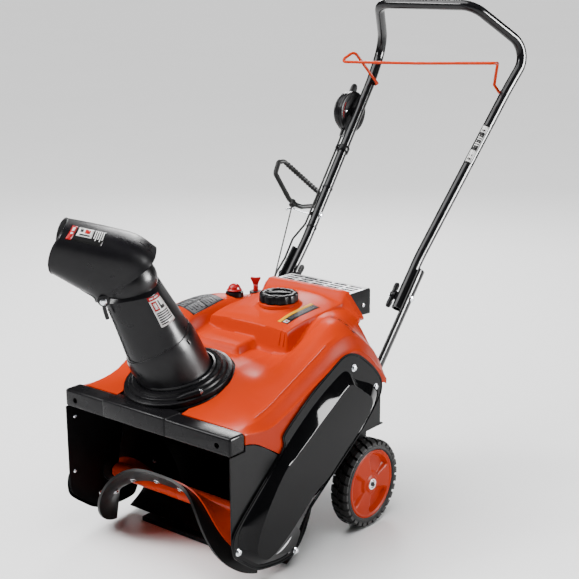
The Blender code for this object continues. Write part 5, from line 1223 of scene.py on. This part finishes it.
def handle_parts():
    half = [on_tube(0.4455), on_tube(SPREAD_FROM), BAIL_AT, KINK, TOP]
    path = [flip(p) for p in half] + half[::-1]
    points = moved(rounded(path, [0.5, 0.25, 0.055, 0.05, 0.05, 0.055, 0.25, 0.5], 12))
    obj = sweep("handle_tube", resample(points, 0.03), TUBE_R - 0.0001, 32, hollow=0.0016)
    fit(obj, "handle", "tube_steel", "upper_handle")
    for name, side in (("left", 1), ("right", -1)):
        low, high = on_tube(0.224), on_tube(0.527)
        ends = [at(side * LOWER_X, low.y, low.z), at(side * LOWER_X, high.y, high.z)]
        way = (ends[1] - ends[0]).normalized()
        line = resample([ends[0], ends[1] - way * 0.001], 0.03)
        obj = sweep(f"lower_tube_{name}", line, TUBE_R - 0.0001, 40)
        flatten(obj, side)
        soften(obj, 0.001, 2, 50)
        fit(obj, "frame", "tube_steel", f"lower_handle_{name}")
        bolt = [(0, -0.04), (0.003, -0.04), (0.003, 0.0222), (0.0082, 0.0222), (0.008, 0.0236),
            (0.0066, 0.0252), (0.0036, 0.0264), (0, 0.0267)]
        place = along(at(side * 0.1735, JOINT.y, JOINT.z), (side, 0, 0))
        fit(lathe(f"carriage_bolt_{name}", bolt, place, 32), "frame", "zinc", f"handle_bolt_{name}")
        centre = at(side * 0.146, JOINT.y, JOINT.z)
        inward = Vector((-side, 0, 0))
        hub = [(0.0033, -0.0074), (0.0098, -0.0074), (0.0102, -0.0066), (0.0094, 0.0066), (0.0086, 0.0074),
            (0.0033, 0.0074), (0.0033, -0.0074)]
        obj = lathe(f"knob_hub_{name}", hub, along(centre, inward), 40)
        fit(obj, f"knob_{name}", "black_plastic", f"wing_knob_{name}")
        lean = atan2(BAIL_AT.z - JOINT.z, BAIL_AT.y - JOINT.y)
        across = Matrix.Translation(centre) @ Matrix(((0, 0, 1, 0), (1, 0, 0, 0), (0, 1, 0, 0), (0, 0, 0, 1)))
        for k in range(2):
            outline = [(0.005, -0.0068), (0.012, -0.0058), (0.02, -0.0072), (0.028, -0.0066),
                (0.0322, -0.0036), (0.0328, 0.0), (0.0322, 0.0036), (0.028, 0.0066), (0.02, 0.0072),
                (0.012, 0.0058), (0.005, 0.0068)]
            place = across @ Matrix.Rotation(lean + k * pi, 4, "Z")
            place = place @ Matrix.Translation((0, 0, -0.0042 - side * 0.0036))
            wing = slab(f"knob_wing_{name}_{k}", outline, place, 0.0084, 0.0022, 3)
            fit(wing, f"knob_{name}", "black_plastic")
    # bail
    b = Vector((0.203, 0.766, 0.91))
    stub = spots((0.19, b.y, b.z), (0.182, b.y, b.z), (0.182, 0.742, 0.93))
    left = stub + spots((0.211, 0.704, 0.986), (0.22, 0.676, 0.988))
    right = [flip(p) for p in stub] + spots((-0.213, 0.703, 0.996), (-0.24, 0.676, 0.97))
    path = rounded(right + [Vector((0.0, 0.668, 0.978))] + left[::-1],
        [0.003, 0.01, 0.012, 0.01, 0.2, 0.01, 0.012, 0.01, 0.003], 6)
    fit(sweep("bail_wire", moved(resample(path, 0.02)), 0.0037, 16), "bail_bar",
        "orange_steel", "bail")
    for side in (-1, 1):
        p = at(side * 0.1896, b.y, b.z)
        ring = [(0.004, 0.0), (0.0062, 0.0), (0.0058, 0.0016), (0.004, 0.002)]
        grommet = lathe(f"bail_grommet_{side}", ring, along(p, (-side, 0, 0)), 28)
        fit(grommet, "handle", "black_plastic")
    # plate on the left tube, facing the front
    lean = (on_tube(0.86) - on_tube(0.8)).normalized()
    front = Vector((0.35, -0.78, 0.6))
    front = (front - lean * front.dot(lean)).normalized()
    cross = lean.cross(front)

    def tube_surf(a, turn, lift):
        r = TUBE_R + 0.0001 + lift
        return on_tube(a) + ROOT + (front * cos(turn) + cross * sin(turn)) * r

    parts = [(0.748, 0.832, -0.75, 0.75, BLACK, 0.0001), (0.815, 0.829, -0.6, 0.6, WHITE, 0.0003),
        (0.751, 0.776, -0.6, 0.6, WHITE, 0.0003)]
    for k in range(7):
        parts.append((0.782 + 0.0042 * k, 0.7842 + 0.0042 * k, -0.5, 0.5 if k % 3 else 0.1, WHITE, 0.0003))
    parts += [(0.755, 0.759, -0.4, 0.4, BLACK, 0.0005), (0.763, 0.767, -0.4, 0.2, BLACK, 0.0005),
        (0.818, 0.821, -0.4, 0.3, BLACK, 0.0005)]
    patch("tube_plate", tube_surf, parts, "handle", 0.004)


CONTROL = Vector((-0.2175, 0.71, 0.838))


def control_parts():
    x, y, z = CONTROL
    out = along(at(x, y, z), (-1, 0, 0))
    case = [(0, 0.0), (0.049, 0.0), (0.0525, 0.001), (0.054, 0.003), (0.054, 0.0095), (0.0531, 0.01),
        (0.0531, 0.0112), (0.054, 0.0117), (0.054, 0.0205), (0.053, 0.0228), (0.051, 0.0239), (0, 0.0239)]
    fit(lathe("control_case", case, out, 96, angle=25), "handle", "black_plastic", "control_housing")
    face = [(0.04, -0.0006), (0.0405, -0.0011), (0.042, -0.0011), (0.0425, -0.0004)]
    fit(lathe("control_face", face, out, 72), "handle", "black_plastic")
    low, high = (x - 0.001, y - 0.012, z - 0.0115), (x + 0.0058, y + 0.012, z + 0.0115)
    fit(block("control_bracket", low, high, 0.0012), "handle", "black_plastic")
    for k, a in enumerate((50, 170, 290)):
        p = at(x + 0.0002, y + 0.036 * cos(radians(a)), z + 0.036 * sin(radians(a)))
        pan_screw(f"control_screw_{k}", p, (1, 0, 0), "handle", 0.0038)
    spout = spots((x - 0.012, y - 0.029, z - 0.044), (x - 0.012, y - 0.04, z - 0.06))
    fit(sweep("control_spout", moved(resample(spout, 0.003)), lambda s: 0.0068 - 0.0016 * s,
        20), "handle", "black_plastic")
    disc = [(0, 0.001), (0.0445, 0.001), (0.046, 0.0022), (0.046, 0.0075), (0.0445, 0.0092),
        (0.012, 0.0092), (0.0105, 0.0078), (0, 0.0078)]
    place = along(at(x - 0.024, y, z), (-1, 0, 0))
    fit(lathe("lever_disc", disc, place, 72), "chute_lever", "lever_plastic", "control_lever")
    up = Vector((0, sin(radians(34)), cos(radians(34))))
    side = Vector((0, cos(radians(34)), -sin(radians(34))))
    base = at(x - 0.0325, y, z)
    tab = Matrix.Translation(base)
    tab = tab @ Matrix(((side.x, up.x, 1, 0), (side.y, up.y, 0, 0), (side.z, up.z, 0, 0), (0, 0, 0, 1)))
    outline = [(-0.0118, 0.036), (0.0118, 0.036), (0.0118, 0.066), (0.0105, 0.074), (0.007, 0.08),
        (0, 0.0818), (-0.007, 0.08), (-0.0105, 0.074), (-0.0118, 0.066)]
    fit(slab("lever_tab", outline, tab, 0.0072, 0.002, 3), "chute_lever", "lever_plastic")
    for k in range(5):
        p = base + up * (0.052 + 0.005 * k)
        rib = [p + side * -0.008, p + side * 0.008]
        fit(sweep(f"lever_rib_{k}", rib, 0.0009, 8), "chute_lever", "lever_plastic")

    def face_surf(a, b, lift):
        return at(x + 0.0003 + lift, y + b * cos(a), z + b * sin(a))

    turns = [radians(140 + 6 * k) for k in range(9)]
    parts = [(a, a + radians(6), 0.0445, 0.047, RED, 0.0002) for a in turns]
    patch("control_arrow", face_surf, parts, "handle", 0.002)
    # cable from the control to the hood, in one length that bends at the fold
    points = [Vector((x - 0.012, y - 0.0415, z - 0.062))]
    for height in (0.74, 0.7, 0.64, 0.58):
        c = on_tube(height, -1)
        points.append(Vector((c.x - 0.0145, c.y - 0.01, c.z + 0.003)))
    points += spots((-0.201, 0.432, 0.548), (-0.203, 0.404, 0.504), (-0.2045, 0.372, 0.473),
                    (-0.206, 0.322, 0.405), (-0.21, 0.248, 0.33), (-0.188, 0.2, 0.335),
                    (-0.156, 0.13, 0.368), (-0.15, 0.02, 0.38), (-0.156, -0.052, 0.372))
    wire = sweep("control_cable", moved(resample(rounded(points, 0.03, 6), 0.006)), 0.0027, 12)
    wire.data.materials.append(MATS["cable_black"])
    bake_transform(wire)
    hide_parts("control_cable_upper", "control_cable_lower")
    c = on_tube(0.752, -1)
    way = (on_tube(0.8, -1) - on_tube(0.7, -1)).normalized()
    clamp = along(c + ROOT, way)
    ring = [(0.0128, -0.008), (0.015, -0.008), (0.0157, -0.007), (0.0157, 0.007), (0.015, 0.008),
        (0.0128, 0.008), (0.0128, -0.008)]
    fit(lathe("clamp_skin", ring, clamp, 48), "handle", "black_plastic", "cable_clamp")
    turned = clamp @ Matrix.Rotation(radians(-40), 4, "Z")
    lug = block("clamp_lug", (-0.006, 0.014, -0.005), (0.006, 0.0205, 0.005), 0.0012, 2, turned)
    fit(lug, "handle", "black_plastic")
    for k, h in enumerate((0.663, 0.575)):
        c = on_tube(h, -1)
        ring = [(0.0127, -0.0022), (0.0138, -0.002), (0.0138, 0.002), (0.0127, 0.0022)]
        fit(lathe(f"cable_tie_{k}", ring, along(c + ROOT, way), 40), "handle", "black_plastic")


EYE = Vector((-0.247, 0.482, 0.609))
ROPE_END = Vector((-0.1, 0.155, 0.3))


def starter_parts():
    lean = (EYE - ROPE_END).normalized()
    side = Vector((0.475, 0.612, -0.636)).normalized()
    outline = [(-0.012, 0.024), (-0.07, 0.066), (-0.069, 0.106), (-0.054, 0.119), (0.071, 0.108),
        (0.071, 0.066), (0.028, 0.03), (0.012, 0.024)]
    loop = [EYE + side * u + lean * w for u, w in outline]
    middle = (loop[0] + loop[-1]) / 2
    path = resample(rounded([middle] + loop + [middle], 0.011, 8), 0.0022)[:-1]
    bar0, bar1 = loop[3], loop[4]
    way = (bar1 - bar0).normalized()
    length = (bar1 - bar0).length
    total = len(path) - 1

    def thick(s):
        p = path[min(total, int(round(s * total)))]
        t = (p - bar0).dot(way)
        off = ((p - bar0) - way * t).length
        if off < 0.004 and 0.008 < t < length - 0.008:
            return 0.0066 + 0.0007 * (1 if int(t / 0.0044) % 2 else -1)
        return 0.0062

    obj = sweep("grip_loop", moved(path), thick, 20, closed=True)
    fit(obj, "starter", "grip_plastic", "starter_grip")
    stem = [(0.0024, 0.0132), (0.0078, 0.0132), (0.0084, 0.0145), (0.008, 0.022), (0.0064, 0.03),
        (0.0024, 0.03), (0.0024, 0.0132)]
    fit(lathe("grip_stem", stem, along(EYE + ROOT, lean), 32), "starter", "grip_plastic")
    rope = resample(moved((ROPE_END - lean * 0.118, EYE + lean * 0.012)), 0.0016)
    fit(sweep("starter_cord", rope, lambda s: 0.0018 + 0.0002 * cos(s * 900), 10), "starter", "rope",
        "starter_rope")
    root = on_tube(EYE.z - 0.006, -1)
    points = [Vector((-0.1595, root.y, root.z)), Vector((-0.215, root.y, root.z))]
    points += [Vector((EYE.x + 0.0115 * cos(radians(a)), EYE.y + 0.0115 * sin(radians(a)), EYE.z))
        for a in range(45, 240, 12)]
    fit(sweep("rope_eye", moved(rounded(points, 0.004, 4)), 0.0026, 14), "handle", "zinc",
        "rope_guide")
    for k, (dx, way_x) in enumerate(((0.0135, 1), (-0.0135, -1))):
        place = along(at(root.x + dx, root.y, root.z), (way_x, 0, 0))
        fit(lathe(f"eye_washer_{k}", [(0.0028, 0.0), (0.008, 0.0), (0.008, 0.0012), (0.0028, 0.0012)],
            place, 32), "handle", "zinc")
        nut = [(0.0056 * cos(i * pi / 3), 0.0056 * sin(i * pi / 3)) for i in range(6)]
        fit(slab(f"eye_nut_{k}", nut, place @ Matrix.Translation((0, 0, 0.0012)), 0.004, 0.0005), "handle",
            "zinc")


# ---------------------------------------------------------------- build
chute_parts()
deflector_parts()
ring_parts()
front_parts()
auger_parts()
hood_parts()
top_controls()
guard_parts()
cover_parts()
wheel_parts("left", 1)
wheel_parts("right", -1)
axle_parts()
handle_parts()
control_parts()
starter_parts()


# ---------------------------------------------------------------- stage
SKY_LOW = 0.55
SKY_HIGH = 1.6
WASH = 4.6
LAMPS = (
    # name, place, aim, size, power
    ("key", (-2.1, -2.3, 3.0), (0, -0.1, 0.4), 0.9, 110),
    ("side", (3.3, 1.5, 1.35), (0.25, 0, 0.3), 1.5, 900),
    ("top", (1.2, -0.6, 3.6), (0, 0, 0.4), 2.0, 110),
    ("rim", (-1.8, 2.4, 2.1), (0, 0, 0.6), 0.9, 60),
)
FLOOR_HALF = 300.0
WASH_TURN = (radians(18), radians(-24), 0)
WASH_SPREAD = radians(50)
CAMERA_AT = (1.7344, -1.9521, 1.2307)
CAMERA_AZIMUTH = radians(39.235)
CAMERA_PITCH = radians(14.868)
CAMERA_ROLL = -0.0047
LENS = 77.6


def floor_and_light():
    floor = surface("floor_paint", (0.9, 0.9, 0.9), 0.75, vary=0.015, grain=1.5)
    mesh = bpy.data.meshes.new("studio_floor")
    r = FLOOR_HALF
    mesh.from_pydata([(-r, -r, 0), (r, -r, 0), (r, r, 0), (-r, r, 0)], [], [(0, 1, 2, 3)])
    obj = bpy.data.objects.new("studio_floor", mesh)
    mesh.materials.append(floor)
    bpy.context.scene.collection.objects.link(obj)
    world = bpy.data.worlds.new("studio")
    world.use_nodes = True
    tree = world.node_tree
    back = tree.nodes["Background"]
    where = node(tree, "ShaderNodeTexCoord")
    parts = node(tree, "ShaderNodeSeparateXYZ")
    ends = {"From Min": 0.15, "From Max": 0.95, "To Min": SKY_LOW, "To Max": SKY_HIGH}
    ramp = node(tree, "ShaderNodeMapRange", ends, interpolation_type="SMOOTHSTEP")
    tree.links.new(where.outputs["Generated"], parts.inputs["Vector"])
    tree.links.new(parts.outputs["Z"], ramp.inputs["Value"])
    tree.links.new(ramp.outputs["Result"], back.inputs["Strength"])
    bpy.context.scene.world = world
    for name, place, aim, size, power in LAMPS:
        lamp = bpy.data.lights.new(name, "AREA")
        lamp.energy = power
        lamp.size = size
        light = bpy.data.objects.new(name, lamp)
        light.location = place
        light.rotation_euler = (Vector(aim) - Vector(place)).to_track_quat("-Z", "Y").to_euler()
        light.visible_diffuse = name != "side"
        light.visible_glossy = name != "top"
        bpy.context.scene.collection.objects.link(light)
    lamp = bpy.data.lights.new("wash", "SUN")
    lamp.energy = WASH
    lamp.angle = WASH_SPREAD
    light = bpy.data.objects.new("wash", lamp)
    light.rotation_euler = WASH_TURN
    bpy.context.scene.collection.objects.link(light)


def camera():
    data = bpy.data.cameras.new("camera")
    data.sensor_width = 36.0
    data.lens = LENS
    data.clip_end = 1000
    cam = bpy.data.objects.new("camera", data)
    turn = Matrix.Rotation(CAMERA_AZIMUTH, 4, "Z") @ Matrix.Rotation(pi / 2 - CAMERA_PITCH, 4, "X")
    turn = turn @ Matrix.Rotation(CAMERA_ROLL, 4, "Z")
    cam.matrix_world = Matrix.Translation(at(*CAMERA_AT)) @ turn
    bpy.context.scene.collection.objects.link(cam)
    bpy.context.scene.camera = cam


floor_and_light()
camera()
